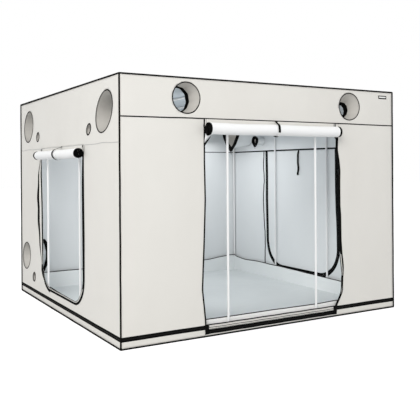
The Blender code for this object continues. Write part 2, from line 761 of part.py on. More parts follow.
corner_connectors()
corner_posts()
rails()
wall_posts()
roof_bars()
walls()
roof_and_floor()
spill_tray()
edge_piping()
rolled_door(
    "front_door_roll", "front", FRONT_ROLL_OFFSET, FRONT_DOOR_WIDTH - 2 * FRONT_ROLL_SIDE_GAP,
    FRONT_SEAM, FRONT_DOOR_BOTTOM, FRONT_ROLL_DIAMETER, FRONT_ROLL_DROP,
)
rolled_door(
    "left_door_roll", "left", LEFT_ROLL_OFFSET, LEFT_DOOR_WIDTH - 2 * LEFT_ROLL_SIDE_GAP,
    SIDE_SEAM, SIDE_DOOR_BOTTOM, LEFT_ROLL_DIAMETER, LEFT_ROLL_DROP,
)
strap_round_roll(
    "front_door_strap", "front", FRONT_STRAP_OFFSET, FRONT_SEAM, FRONT_ROLL_DIAMETER, FRONT_ROLL_DROP,
)
strap_round_roll(
    "left_door_strap", "left", LEFT_STRAP_OFFSET, SIDE_SEAM, LEFT_ROLL_DIAMETER, LEFT_ROLL_DROP,
)
loose_strap()
right_door()
sleeves()
sliders()
bpy.data.collections.remove(HELPERS)
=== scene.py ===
"""The looks of a walk-in indoor grow tent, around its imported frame.

Metres, +Z up, front wall facing -Y. On a wall, u runs from left to right as seen from outside, v is up
and w is out of the tent.
"""

import json
from itertools import product
from math import asin, atan2, cos, hypot, pi, radians, sin, sqrt, tau

import bmesh
import bpy
import numpy as np
from mathutils import Matrix, Vector, noise

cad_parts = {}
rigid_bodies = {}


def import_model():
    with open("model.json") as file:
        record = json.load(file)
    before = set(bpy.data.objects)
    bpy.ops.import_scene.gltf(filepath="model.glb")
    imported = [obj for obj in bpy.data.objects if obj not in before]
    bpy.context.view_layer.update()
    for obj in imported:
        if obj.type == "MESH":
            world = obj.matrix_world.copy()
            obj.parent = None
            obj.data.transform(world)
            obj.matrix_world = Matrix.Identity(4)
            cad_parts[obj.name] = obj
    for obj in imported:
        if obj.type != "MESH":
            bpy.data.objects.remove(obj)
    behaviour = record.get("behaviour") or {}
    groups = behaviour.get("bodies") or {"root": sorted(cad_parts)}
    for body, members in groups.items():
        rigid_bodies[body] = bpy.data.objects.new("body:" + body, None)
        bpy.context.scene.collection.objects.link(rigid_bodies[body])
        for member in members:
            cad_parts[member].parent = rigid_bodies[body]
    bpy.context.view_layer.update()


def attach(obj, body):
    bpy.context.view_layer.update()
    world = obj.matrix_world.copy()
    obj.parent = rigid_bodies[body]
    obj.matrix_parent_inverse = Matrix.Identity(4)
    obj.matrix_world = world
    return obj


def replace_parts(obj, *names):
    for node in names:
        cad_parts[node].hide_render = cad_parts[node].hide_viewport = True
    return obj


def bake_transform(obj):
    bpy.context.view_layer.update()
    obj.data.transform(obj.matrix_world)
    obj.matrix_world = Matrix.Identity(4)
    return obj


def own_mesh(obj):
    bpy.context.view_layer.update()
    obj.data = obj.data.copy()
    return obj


for stray in list(bpy.data.objects):
    bpy.data.objects.remove(stray, do_unlink=True)
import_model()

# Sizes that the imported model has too
REACH = 1.5
ROOF = 2.2
CLOTH = 0.0016
FRONT_SEAM = 1.86
SIDE_SEAM = 1.655
FRONT_EDGES = (-0.745, 0.785)
FRONT_SILL = 0.105
LEFT_EDGES = (-0.66, 0.67)
RIGHT_EDGES = (-0.68, 0.72)
SIDE_SILL = 0.17
CORNER = 0.28
RIGHT_CORNER = 0.34
TUBE = 0.011
SOCKET = 0.0133
SOCKET_FACE = SOCKET - 0.0002
SLANT = (0.3, 0.5, 0.81)  # along no edge or tube, so that it can set their sides' turn
FRAME_REACH = 1.4804
FRAME_LOW = 0.0156
FRAME_HIGH = 2.1804
POST_PLACE = 0.5
BAR_PLACE = 0.25
TRAY_FLOOR = 0.0043
TRAY_FOLDS = (0.01, 0.045, 0.045, 0.04, 0.027)
TRAY_SIDES = sum(TRAY_FOLDS)
TRAY_REACH = 1.4655
PIPING = 0.006
FRONT_POST_SHIFT = 0.018
BASE_ZIP = (0.064, 0.102)
FRONT_ROLL = {"edges": (-0.724, 0.728), "middle": 1.778, "radius": 0.056, "seam": FRONT_SEAM, "turns": 8.9,
              "bands": (0.016, 0.024)}
LEFT_ROLL = {"edges": (-0.635, 0.685), "middle": 1.585, "radius": 0.05, "seam": SIDE_SEAM, "turns": 8.3,
             "bands": (0.045, 0.016)}
ROLL_WALL_GAP = 0.004
LARGE = 0.1  # vents of a larger radius are the large ones

# Vents: side, along, height, radius, then the sleeve's length, mouth and droop
VENTS = {
    "front_duct_sleeve_left": ("front", -0.905, 2.03, 0.135, 0.15, 0.9, 0.0),
    "front_duct_sleeve_right": ("front", 0.905, 2.03, 0.135, 0.15, 0.46, 0.0),
    "left_duct_sleeve_front": ("left", 1.17, 1.92, 0.187, 0.25, 1.0, 0.34),
    "left_duct_sleeve_back": ("left", -1.17, 1.92, 0.187, 0.25, 1.0, 0.34),
    "left_duct_sleeve_low": ("left", -1.289, 0.44, 0.165, 0.2, 1.0, 0.06),
    "left_port_sleeve_front": ("left", 0.8, 1.79, 0.0565, 0.12, 0.6, 0.34),
    "left_port_sleeve_back": ("left", -0.8, 1.79, 0.0565, 0.12, 0.6, 0.34),
    "left_port_sleeve_low": ("left", -0.98, 0.235, 0.0565, 0.092, 0.6, 0.34),
    "right_duct_sleeve_front": ("right", -1.17, 1.92, 0.187, 0.205, 0.94, 0.34),
    "right_duct_sleeve_back": ("right", 1.17, 1.92, 0.187, 0.25, 0.94, 0.34),
    "right_port_sleeve_front": ("right", -0.8, 1.79, 0.0565, 0.12, 0.6, 0.34),
    "right_port_sleeve_back": ("right", 0.8, 1.79, 0.0565, 0.12, 0.7, 0.34),
}
# How a sleeve's mouth leans along the wall and sinks, where it doesn't hang straight
LEANS = {
    "front_duct_sleeve_left": (-0.036, -0.008),
    "front_duct_sleeve_right": (0.012, -0.03),
    "left_duct_sleeve_low": (0.045, 0.0),
    "left_port_sleeve_low": (-0.035, 0.0),
    "right_duct_sleeve_front": (-0.01, 0.0),
    "right_duct_sleeve_back": (0.055, 0.0),
    "right_port_sleeve_back": (0.03, 0.0),
}


# Materials

WEAVE = 1300  # threads a metre
PEBBLES = 420  # dents a metre in the lining film


class Nodes:
    """A node tree whose nodes are added with their values; a value that is a socket is linked."""

    def __init__(self, owner, emptied=True):
        owner.use_nodes = True
        self.tree = owner.node_tree
        if emptied:
            self.tree.nodes.clear()

    def set(self, node, **values):
        for name, value in values.items():
            socket = node.inputs.get(name.replace("_", " "))
            if socket is None:
                setattr(node, name, value)
            elif isinstance(value, bpy.types.NodeSocket):
                self.tree.links.new(value, socket)
            else:
                socket.default_value = value

    def add(self, kind, *feeds, **values):
        """Adds a node; the feeds go into its first inputs, in order."""
        node = self.tree.nodes.new("ShaderNode" + kind)
        self.set(node, **values)
        for feed, socket in zip(feeds, node.inputs):
            self.tree.links.new(feed, socket)
        return node


class Finish(Nodes):
    """A Principled material whose colour, roughness and bump vary over the piece."""

    def __init__(self, name, colour, roughness, **sockets):
        self.material = bpy.data.materials.new(name)
        super().__init__(self.material, emptied=False)
        self.shader = self.tree.nodes["Principled BSDF"]
        self.colour = colour
        self.set(self.shader, Base_Color=(*colour, 1.0), Roughness=roughness, **sockets)
        self.places = {}
        self.last_bump = None

    def texture(self, kind, source, stretch, **values):
        """A texture on the piece's own coordinates, stretched by a scale on each axis."""
        if source not in self.places:
            self.places[source] = self.add("TexCoord").outputs[source]
        mapping = self.add("Mapping", self.places[source], Scale=stretch)
        node = self.add(kind, mapping.outputs["Vector"], Scale=1.0, **values)
        return node.outputs["Fac"] if "Fac" in node.outputs else node.outputs["Distance"]

    def vary(self, amount, height, darker):
        """Mixes the colour towards a darker one by a texture."""
        ramp = self.add("ValToRGB", amount)
        for element, place, colour in zip(ramp.color_ramp.elements, height, (darker, self.colour)):
            element.position = place
            element.color = (*colour, 1)
        self.set(self.shader, Base_Color=ramp.outputs["Color"])

    def rough(self, amount, low, high):
        spread = self.add("MapRange", amount, To_Min=low, To_Max=high)
        self.set(self.shader, Roughness=spread.outputs["Result"])

    def bump(self, height, strength, distance):
        node = self.add("Bump", Strength=strength, Distance=distance, Height=height)
        if self.last_bump:
            self.set(node, Normal=self.last_bump)
        self.last_bump = node.outputs["Normal"]
        self.set(self.shader, Normal=self.last_bump)


def wave(finish, bands, direction="X"):
    """Even ribs across the piece's cloth coordinates, in ribs a metre on each axis."""
    stretch = tuple(count / 3.1416 for count in bands)
    return finish.texture("TexWave", "UV", stretch, wave_type="BANDS", bands_direction=direction,
                          wave_profile="SIN")


def cloud(finish, stretch, detail=3.0, rough=0.5):
    """Soft noise over the piece; one number stretches all three axes."""
    stretch = stretch if isinstance(stretch, tuple) else (stretch,) * 3
    return finish.texture("TexNoise", "Object", stretch, Detail=detail, Roughness=rough)


def coated_cloth(name, colour, darker):
    cloth = Finish(name, colour, 0.62, Sheen_Weight=0.12, Sheen_Roughness=0.5, Specular_IOR_Level=0.35)
    cloth.vary(cloud(cloth, (1.3, 1.3, 0.7), 4), (0.25, 0.7), darker)
    cloth.bump(cloud(cloth, (7, 7, 3), 3, 0.55), 0.35, 0.004)
    cloth.bump(cloud(cloth, (38, 38, 30), 2, 0.5), 0.16, 0.001)
    for direction in "XY":
        cloth.bump(wave(cloth, (WEAVE,) * 3, direction), 0.12, 0.0002)
    return cloth.material


def lining_film(name, colour, darker, roughness, metallic):
    film = Finish(name, colour, roughness, Metallic=metallic, Specular_IOR_Level=0.4)
    film.vary(cloud(film, (1.1, 1.1, 0.6), 4), (0.25, 0.75), darker)
    film.rough(cloud(film, (5, 5, 2), 3), roughness - 0.07, roughness + 0.09)
    film.bump(cloud(film, (6, 6, 1.6), 3, 0.5), 0.3, 0.005)
    film.bump(film.texture("TexVoronoi", "UV", (PEBBLES,) * 3, feature="F1"), 0.1, 0.0004)
    return film.material


def ribbed(name, colour, darker, roughness, patches, ribs, shine=0.04, soft=None):
    """Tape, teeth or binding: ribs across it (how many a metre, strength, depth), with darker patches."""
    tape = Finish(name, colour, roughness, Specular_IOR_Level=shine)
    tape.vary(cloud(tape, *patches), (0.2, 0.8), darker)
    tape.bump(wave(tape, (ribs[0], 0, 0)), *ribs[1:])
    if soft:
        tape.bump(cloud(tape, soft, 3), 0.3, 0.002)
    return tape.material


def powder_coat(name):
    coat = Finish(name, (0.9, 0.9, 0.9), 0.3, Specular_IOR_Level=0.5, Coat_Weight=0.15, Coat_Roughness=0.25)
    coat.vary(cloud(coat, (9, 9, 3)), (0.15, 0.6), (0.85, 0.86, 0.87))
    coat.rough(cloud(coat, 40), 0.24, 0.4)
    coat.bump(cloud(coat, 900, 2), 0.06, 0.0002)
    return coat.material


def slider_paint(name):
    paint = Finish(name, (0.02, 0.02, 0.021), 0.35, Metallic=0.7)
    paint.vary(cloud(paint, 300), (0.2, 0.8), (0.011, 0.011, 0.011))
    paint.rough(cloud(paint, 150), 0.25, 0.5)
    return paint.material


OUTER = coated_cloth("white_cloth", (0.77, 0.755, 0.715), (0.735, 0.715, 0.675))
# Sleeve cloth: the white cloth painted darker, as painted shade for the inside of the vent sleeves.
SLEEVE_PAINTED_SHADE = coated_cloth("sleeve_cloth_painted_shade", (0.57, 0.55, 0.515), (0.52, 0.5, 0.465))
LINING = lining_film("lining_film", (0.8, 0.82, 0.828), (0.755, 0.778, 0.79), 0.45, 0.12)
ROLL_FACE = lining_film("rolled_lining", (0.93, 0.935, 0.935), (0.9, 0.905, 0.91), 0.5, 0.06)
# Tray backing: the white cloth painted lighter, as painted light on the tray's outer face, which lies in shade.
TRAY_BACK_PAINTED_LIGHT = coated_cloth("tray_backing_painted_light", (0.92, 0.915, 0.9), (0.89, 0.885, 0.87))
# Roof lining: the lining film painted darker, as painted shade for the roof's underside seen up through the
# vents.
ROOF_LINING_PAINTED_SHADE = lining_film("roof_lining_painted_shade", (0.56, 0.615, 0.66), (0.52, 0.575, 0.62), 0.45, 0.1)
# Tray side and floor films: lit and shaded copies of one film, the sides painted lighter where light falls in
# at the doorways and the floor painted darker.
TRAY_SIDE_PAINTED_LIGHT = lining_film("tray_side_film_painted_light", (0.87, 0.895, 0.895), (0.81, 0.835, 0.84), 0.45, 0.1)
TRAY_FILM_PAINTED_SHADE = lining_film("tray_film_painted_shade", (0.72, 0.752, 0.755), (0.65, 0.682, 0.69), 0.45, 0.1)
TAPE = ribbed("black_tape", (0.006,) * 3, (0.003,) * 3, 0.85, (30, 3), (900, 0.4, 0.0003))
TEETH = ribbed("zip_teeth", (0.007,) * 3, (0.005,) * 3, 0.55, (60, 2), (400, 0.9, 0.0009), 0.08)
BINDING = ribbed("black_binding", (0.007, 0.006, 0.006), (0.004, 0.004, 0.003), 0.78, (25, 3),
                 (330, 0.35, 0.0005), soft=14)
WEBBING = ribbed("black_webbing", (0.006,) * 3, (0.003,) * 3, 0.7, (30, 3), (700, 0.4, 0.0003))
WHITE_WEB = coated_cloth("white_webbing", (0.86, 0.86, 0.85), (0.8, 0.8, 0.79))
TUBE_COAT = powder_coat("white_powder_coat")
SLIDER = slider_paint("slider_paint")
GREY_THREAD = coated_cloth("grey_seam", (0.5, 0.5, 0.49), (0.45, 0.45, 0.44))
DARK_THREAD = coated_cloth("dark_seam", (0.15, 0.155, 0.155), (0.11, 0.115, 0.115))
PATCH = coated_cloth("plain_patch", (0.9, 0.9, 0.88), (0.86, 0.86, 0.84))


# Walls as cloth


def wall_frame(along, out):
    turned = Matrix((along, (0, 0, 1), out)).transposed().to_4x4()
    turned.translation = Vector(out) * REACH
    return turned


WALLS = {
    "front": wall_frame((1, 0, 0), (0, -1, 0)),
    "right": wall_frame((0, 1, 0), (1, 0, 0)),
    "back": wall_frame((-1, 0, 0), (0, 1, 0)),
    "left": wall_frame((0, -1, 0), (-1, 0, 0)),
}
SEAM = {"front": FRONT_SEAM, "right": SIDE_SEAM, "back": SIDE_SEAM, "left": SIDE_SEAM}
HOLES = {side: [(u, v, radius) for wall, u, v, radius, *_ in VENTS.values() if wall == side] for side in WALLS}
SEED = {"front": 3.7, "right": 11.2, "back": 17.9, "left": 23.4}

# How far each doorway edge bows along the wall, at heights from the sill to the seam
EDGE_BOWS = {
    "front": (
        (FRONT_EDGES[0],
         (0.0, 0.15, 0.41, 0.8, 1.17, 1.5, 1.86), (0.02, 0.015, -0.013, 0.006, 0.02, 0.014, 0.016)),
        (FRONT_EDGES[1],
         (0.0, 0.1, 0.152, 0.18, 0.22, 0.25, 0.37, 0.46, 0.5, 0.56,
          0.62, 0.69, 0.74, 0.98, 1.08, 1.22, 1.41, 1.5, 1.61, 1.86),
         (-0.055, -0.046, -0.014, 0.004, 0.025, 0.033, 0.038, 0.046, 0.044, 0.036,
          0.028, 0.024, 0.019, 0.017, 0.006, 0.006, 0.011, 0.0, -0.02, -0.012)),
    ),
    "left": (
        (LEFT_EDGES[1], (0.0, 0.4, 0.8, 1.2, 1.655), (0.0, 0.004, 0.01, 0.004, 0.0)),
        (LEFT_EDGES[0],
         (0.0, 0.3, 0.43, 0.62, 0.83, 1.0, 1.16, 1.37, 1.655),
         (0.0, 0.006, 0.02, 0.035, 0.029, 0.027, 0.017, 0.0, 0.0)),
    ),
    "right": (
        (RIGHT_EDGES[0],
         (0.0, 0.45, 0.68, 0.78, 0.95, 1.18, 1.41, 1.655),
         (0.0, 0.003, 0.006, 0.01, 0.021, 0.028, 0.029, 0.03)),
        (RIGHT_EDGES[1],
         (0.0, 0.23, 0.41, 0.65, 1.015, 1.377, 1.655), (0.0, -0.01, -0.028, -0.026, -0.015, -0.018, -0.012)),
    ),
    "back": (),
}


def at(side, u, v, w=0.0):
    """A point given in a wall's own frame."""
    return WALLS[side] @ Vector((u, v, w))


def noisy(x, y, z):
    return noise.noise(Vector((x, y, z)))


def rise(share):
    """A smooth step from 0 to 1."""
    share = min(max(share, 0.0), 1.0)
    return share * share * (3 - 2 * share)


def evenly(start, end, count):
    """Evenly spaced values from start to end, both of them included."""
    return [start + (end - start) * i / count for i in range(count + 1)]


def between(x, places, values):
    return float(np.interp(x, places, values))


def read(values, share):
    """The value at a share of the way along a list."""
    return between(share * (len(values) - 1), range(len(values)), values)


def edge_bow(side, u, v):
    """How far the cloth round a doorway edge has shifted along the wall."""
    shift = 0.0
    for edge, heights, bows in EDGE_BOWS[side]:
        near = 1 - rise(abs(u - edge) / 0.3)
        if near:
            shift += near * (1 - rise((v - heights[-1]) / 0.1)) * between(v, heights, bows)
    return shift


def stiff(side, u, v):
    """The nearest distance to a zip tape or vent ring, which keeps the cloth flat."""
    edges = [abs(u - edge) for edge, heights, _ in EDGE_BOWS[side] if v < heights[-1]]
    vents = [abs(hypot(u - along, v - height) - radius) for along, height, radius in HOLES[side]]
    return min([abs(v - SEAM[side]), *edges, *vents])


def slack(side, u, v):
    """How far the cloth stands out from the flat of its wall: held at edges, seam, zips and posts."""
    held = rise((REACH - abs(u)) / 0.14) * rise((v - 0.112) / 0.12) * rise((ROOF - v) / 0.12)
    held *= rise((stiff(side, u, v) - 0.02) / 0.12)
    held *= 0.4 + 0.6 * rise(abs(abs(u) - POST_PLACE) / 0.12)
    seed = SEED[side]
    broad = noisy(u * 1.3 + seed, v * 0.9, seed)
    folds = noisy(u * 5.0 + seed, v * 0.8 - u * 0.8, seed + 4)
    fine = noisy(u * 11 - v * 4, v * 7 + seed, seed + 9)
    return held * max(0.002 + 0.008 * broad + 0.0028 * folds + 0.0009 * fine, -0.003)


def askew(side, u, v):
    """How far a vent's ring and the cloth round it are pulled out of round."""
    du = dv = 0.0
    for along, height, radius in HOLES[side]:
        near = 1 - rise((hypot(u - along, v - height) / radius - 1.05) / 0.7)
        if side == "left":
            du += near * (0.3 if along > 0 else 0.16) * (v - height)
            dv -= near * 0.05 * (v - height)
        elif side == "front":
            du += near * (0.009 if along < 0 else 0.013)
            dv += near * 0.002
    return du, dv


def on_wall(side, u, v, w=0.0):
    du, dv = askew(side, u, v)
    return at(side, u + du + edge_bow(side, u, v), v + dv, w + slack(side, u, v))


# Pieces

WELD = 0.00005  # closer points than this become one


def linked(name, data):
    """A new object of the scene."""
    thing = bpy.data.objects.new(name, data)
    bpy.context.scene.collection.objects.link(thing)
    return thing


def keep(name, form, body, slot, *materials):
    """Makes a piece of a bmesh that is in place, with its body and materials; the slot is not used."""
    mesh = bpy.data.meshes.new(name)
    form.to_mesh(mesh)
    form.free()
    for material in materials:
        mesh.materials.append(material)
    mesh.shade_smooth()
    mesh.set_sharp_from_angle(angle=radians(50))
    piece = linked(name, mesh)
    if body:
        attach(piece, body)
    return piece


def squares(columns, rows, size=0.5):
    """A flat form of squares that reaches out from the middle by size."""
    form = bmesh.new()
    bmesh.ops.create_grid(form, x_segments=columns, y_segments=rows, size=size)
    return form


def woven(form, place):
    """Gives a form its cloth coordinates, from the place of each vertex."""
    layer = form.loops.layers.uv.new("weave")
    for face in form.faces:
        for loop in face.loops:
            loop[layer].uv = place(loop.vert.co)


def grid(columns, rows, spot, size, material=None, wrap=False):
    """A cloth-like grid whose points go where spot(share along, share across) says."""
    form = squares(columns, rows)
    woven(form, lambda here: ((here.x + 0.5) * size[0], (here.y + 0.5) * size[1]))
    if material:
        for face in form.faces:
            middle = face.calc_center_median()
            face.material_index = material(middle.x + 0.5, middle.y + 0.5)
    for vert in form.verts:
        vert.co = spot(vert.co.x + 0.5, vert.co.y + 0.5)
    if wrap:
        bmesh.ops.remove_doubles(form, verts=form.verts, dist=WELD)
    return form


def joined(forms):
    """One bmesh of several."""
    total = forms[0]
    for other in forms[1:]:
        mesh = bpy.data.meshes.new("part")
        other.to_mesh(mesh)
        other.free()
        total.from_mesh(mesh)
        bpy.data.meshes.remove(mesh)
    return total


def thick(piece, thickness, offset=-1.0, inner=0, rim=0):
    shell = piece.modifiers.new("Cloth", "SOLIDIFY")
    shell.thickness, shell.offset = thickness, offset
    shell.material_offset, shell.material_offset_rim = inner, rim
    return piece


def baked(piece):
    """Applies the modifiers of a piece."""
    bpy.context.view_layer.update()
    graph = bpy.context.evaluated_depsgraph_get()
    mesh = bpy.data.meshes.new_from_object(piece.evaluated_get(graph))
    piece.modifiers.clear()
    old, piece.data = piece.data, mesh
    mesh.name = piece.name
    bpy.data.meshes.remove(old)
    return piece


def black(name, *forms, kinds=(), body="root"):
    """A black piece of one or more forms, all binding unless other materials are given."""
    return keep(name, joined(forms), body, "black_tape", *(kinds or (BINDING,)))


def flattened(piece):
    """Gives a piece a mesh of its own."""
    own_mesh(piece)


class Line:
    """An open or closed line of points, read by its share of length."""

    def __init__(self, points, closed=False):
        points = [tuple(Vector(p)) for p in points]
        self.points = np.array(points + points[:1] if closed else points, float)
        steps = np.linalg.norm(np.diff(self.points, axis=0), axis=1)
        self.at = np.concatenate([[0.0], np.cumsum(steps)])
        self.length = float(self.at[-1])
        self.closed = closed

    def point(self, share):
        place = (share % 1.0 if self.closed else share) * self.length
        return Vector([between(place, self.at, column) for column in self.points.T])

    def heading(self, share, reach=0.004):
        low, high = share - reach / self.length, share + reach / self.length
        if not self.closed:
            low, high = max(low, 0), min(high, 1)
        return (self.point(high) - self.point(low)).normalized()


def tube(line, radius, sides, steps, up=(0, 0, 1)):
    """A round tube along a line: radius is a number, or a function of the share of length and the angle."""
    lead = Vector(up)

    def spot(s, t):
        along = line.heading(s)
        side = lead.cross(along)
        side = side.normalized() if side.length > 1e-4 else Vector((1, 0, 0)).cross(along).normalized()
        high = along.cross(side)
        angle = tau * t
        r = radius(s, angle) if callable(radius) else radius
        return line.point(s) + side * r * cos(angle) + high * r * sin(angle)

    form = grid(steps, sides, spot, (line.length, 0.03), wrap=True)
    if not line.closed:
        bmesh.ops.holes_fill(form, edges=[edge for edge in form.edges if edge.is_boundary], sides=0)
    bmesh.ops.recalc_face_normals(form, faces=form.faces)
    return form


def flat_strip(side, path, profile, base=0.0006, step=0.03, curl=None, closed=False, inside=False, reach=None):
    """A strip laid on a wall along a path of (u, v). The profile lists (across, height, material)."""
    line = Line([(u, v, 0) for u, v in path], closed)
    if inside:
        profile = [(a, -h, kind) for a, h, kind in profile][::-1]
        base = -CLOTH - base
    across, height, kinds = zip(*profile)
    rows = len(profile) - 1

    def spot(s, t):
        a, h = read(across, t), read(height, t)
        ahead, here = line.heading(s), line.point(s)
        turn = curl(here.x, here.y) if curl else 0.0
        if reach:
            a *= reach(here.y)
        flat = a * cos(turn) - h * sin(turn)
        lift = a * sin(turn) + h * cos(turn)
        return on_wall(side, here.x - ahead.y * flat, here.y + ahead.x * flat, base + lift)

    return grid(max(2, int(line.length / step)), rows, spot, (line.length, across[-1] - across[0]),
                lambda s, t: kinds[min(int(t * rows), rows - 1)], closed)


def zip_profile(half):
    """Across a closed zip: tape with a stitched ridge near each edge, and teeth in the middle."""
    edge = [(half, 0.0, 0), (half - 0.001, 0.0011, 0), (half - 0.0025, 0.0016, 0), (half - 0.004, 0.0011, 0)]
    left = [(-across, height, kind) for across, height, kind in edge]
    teeth = [(-0.0042, 0.0012, 1), (-0.0032, 0.0026, 1), (0.0, 0.0032, 1),
             (0.0032, 0.0026, 1), (0.0042, 0.0012, 0)]
    return left + teeth + edge[::-1]


def tape(side, path, left, right, height=0.0012, **place):
    """A plain tape on a wall: its two edges fall to the cloth."""
    fall = 0.0012
    profile = [(left, 0.0, 0), (left + fall, height, 0), ((left + right) / 2, height * 1.1, 0),
               (right - fall, height, 0), (right, 0.0, 0)]
    return flat_strip(side, path, profile, **place)


def rounded_door(edges, top=SIDE_SEAM, inset=0.0, corner=CORNER):
    """The line of a side doorway's zip, from the top of one edge round the bottom to the other."""
    left, right = edges[0] + inset, edges[1] - inset
    radius = corner - inset
    foot = SIDE_SILL + inset + radius
    path = [(left, v) for v in evenly(top, foot, 20)[:-1]]
    for middle, start in ((left + radius, pi), (right - radius, pi * 1.5)):
        turns = evenly(start, start + pi / 2, 12)
        path += [(middle + radius * cos(turn), foot + radius * sin(turn)) for turn in turns]
    return path + [(right, v) for v in evenly(foot, top, 20)[1:]]


def ring(u, v, radius, steps=48):
    return [(u + radius * cos(tau * i / steps), v + radius * sin(tau * i / steps)) for i in range(steps)]


def drum(outline):
    """A closed upright prism over an outline, to cut a hole with."""
    form = bmesh.new()
    base = form.faces.new([form.verts.new((x, y, -0.05)) for x, y in outline])
    raised = bmesh.ops.extrude_face_region(form, geom=[base])
    top = [part for part in raised["geom"] if isinstance(part, bmesh.types.BMVert)]
    bmesh.ops.translate(form, vec=(0, 0, 0.1), verts=top)
    bmesh.ops.recalc_face_normals(form, faces=form.faces)
    return form


def cut_panel(name, counts, across, up, operation, outlines):
    """A flat panel of fine squares, cut by some outlines, with the lining on its inner face."""
    form = squares(*counts)
    for vert in form.verts:
        middle, width = (across[0] + across[1]) / 2, across[1] - across[0]
        vert.co = (middle + vert.co.x * width, up[0] + (vert.co.y + 0.5) * (up[1] - up[0]), 0)
    panel = thick(keep(name, form, None, "white_cloth", OUTER, LINING), CLOTH, inner=1)
    if not outlines:
        return baked(panel)
    cutter = keep("cutter", joined([drum(outline) for outline in outlines]), None, "white_cloth", OUTER)
    cut = panel.modifiers.new("Cut", "BOOLEAN")
    cut.operation, cut.solver, cut.object = operation, "EXACT", cutter
    baked(panel)
    bpy.data.objects.remove(cutter, do_unlink=True)
    return panel


def stand(panel, side, body, node):
    """Gives a flat panel its weave, slackens it and stands it in its wall."""
    form = bmesh.new()
    form.from_mesh(panel.data)
    woven(form, lambda here: here.xy)
    for face in form.faces:
        face.smooth = True
    for vert in form.verts:
        vert.co = on_wall(side, *vert.co)
    form.to_mesh(panel.data)
    form.free()
    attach(panel, body)
    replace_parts(panel, node)


def wall_cloth(side):
    """One wall: a flat panel, cut for its doorway and vents, then slackened and stood in place."""
    outlines = [ring(u, v, radius) for u, v, radius in HOLES[side]]
    if side == "front":
        left, right = FRONT_EDGES
        outlines.append([(left, FRONT_SILL), (right, FRONT_SILL), (right, FRONT_SEAM), (left, FRONT_SEAM)])
    elif side == "left":
        outlines.append(rounded_door(LEFT_EDGES))
    elif side == "right":
        outlines.append(rounded_door(RIGHT_EDGES, corner=RIGHT_CORNER))
    cloth = cut_panel(f"{side}_wall_cloth", (120, 88), (-REACH + 0.003, REACH - 0.003), (0.004, ROOF - 0.003),
                      "DIFFERENCE", outlines)
    stand(cloth, side, "root", f"{side}_wall")


for side in WALLS:
    wall_cloth(side)


# Roof, floor and tray


def roof_cloth():
    """The roof, drawn tight over the top rails and lying on the two roof bars."""

    def spot(s, t):
        x, y = (s - 0.5) * 2.988, (t - 0.5) * 2.988
        held = rise((REACH - abs(x)) / 0.3) * rise((REACH - abs(y)) / 0.3)
        on_bar = 1 - rise(abs(abs(x) - BAR_PLACE) / 0.35)
        sag = 0.003 + 0.012 * (1 - on_bar) * (0.6 + noisy(x, y, 7.3))
        fold = 0.0015 * noisy(x * 6, y * 1.2, 2.1) + 0.001 * noisy(x * 3, y * 9, 5)
        return Vector((x, y, ROOF - 0.0004 - held * (sag * 0.5 + fold)))

    # The roof's underside takes the roof lining, which is painted shade.
    roof = keep("roof_cloth", grid(90, 90, spot, (3, 3)), "root", "white_cloth", OUTER, ROOF_LINING_PAINTED_SHADE)
    thick(roof, CLOTH, inner=1)
    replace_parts(roof, "roof_panel")


def floor_cloth():
    form = grid(30, 30, lambda s, t: Vector(((s - 0.5) * 2.99, (t - 0.5) * 2.99, 0.0019)), (3, 3))
    sheet = keep("floor_cloth", form, "root", "lining", LINING, OUTER)
    thick(sheet, CLOTH, inner=1, rim=1)
    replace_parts(sheet, "floor_sheet")


def tray_edge(x, y):
    """How far the tray's rim stands over its even height: it sags at the doorways and waves between posts."""
    run = x + y * 1.7
    wave = 0.0035 * noisy(run * 2.2, 3.1, 0) + 0.002 * noisy(run * 7, 1, 4)
    lean = -0.03 + 0.055 * rise((y + REACH) / 2.6)
    peak = 0.026 * (1 - rise((hypot(x - REACH, y - REACH) - 0.05) / 0.35))
    down_right, down_back = REACH - y, REACH - x
    if down_back < 0.05:
        peak -= 0.02 * rise((down_right - 0.03) / 0.1) * (1 - rise((down_right - 0.14) / 0.5))
    elif down_right < 0.05:
        peak -= 0.018 * rise((down_back - 0.3) / 0.2) * (1 - rise((down_back - 0.6) / 0.6))
    return wave + lean * (1 - 0.4 * rise((x - 0.5) / 0.9)) + peak


def tray_lean(x, y, z):
    """What share of its distance from the middle a point of the tray's sides keeps, as they lean in."""
    return 1 - 0.006 * rise(z / TRAY_SIDES) * (0.4 + noisy(x * 2.5, y * 2.5, z * 3)) / TRAY_REACH


def tray_form():
    """The flat floor of the tray with its sides folded up."""
    form = squares(80, 80, TRAY_REACH)
    rim = [edge for edge in form.edges if edge.is_boundary]
    for rises in TRAY_FOLDS:
        raised = bmesh.ops.extrude_edge_only(form, edges=rim)["geom"]
        corners = [part for part in raised if isinstance(part, bmesh.types.BMVert)]
        bmesh.ops.translate(form, vec=(0, 0, rises), verts=corners)
        rim = [part for part in raised if isinstance(part, bmesh.types.BMEdge)]
    bmesh.ops.recalc_face_normals(form, faces=form.faces)
    if max(form.faces, key=lambda face: abs(face.normal.z)).normal.z < 0:
        bmesh.ops.reverse_faces(form, faces=form.faces)
    woven(form, lambda here: (here.x + here.z, here.y + here.z))
    for face in form.faces:
        # Faces above the floor take the side film: painted light on the sides, painted shade on the floor.
        face.material_index = 1 if max(vert.co.z for vert in face.verts) > 0.005 else 0
    return form


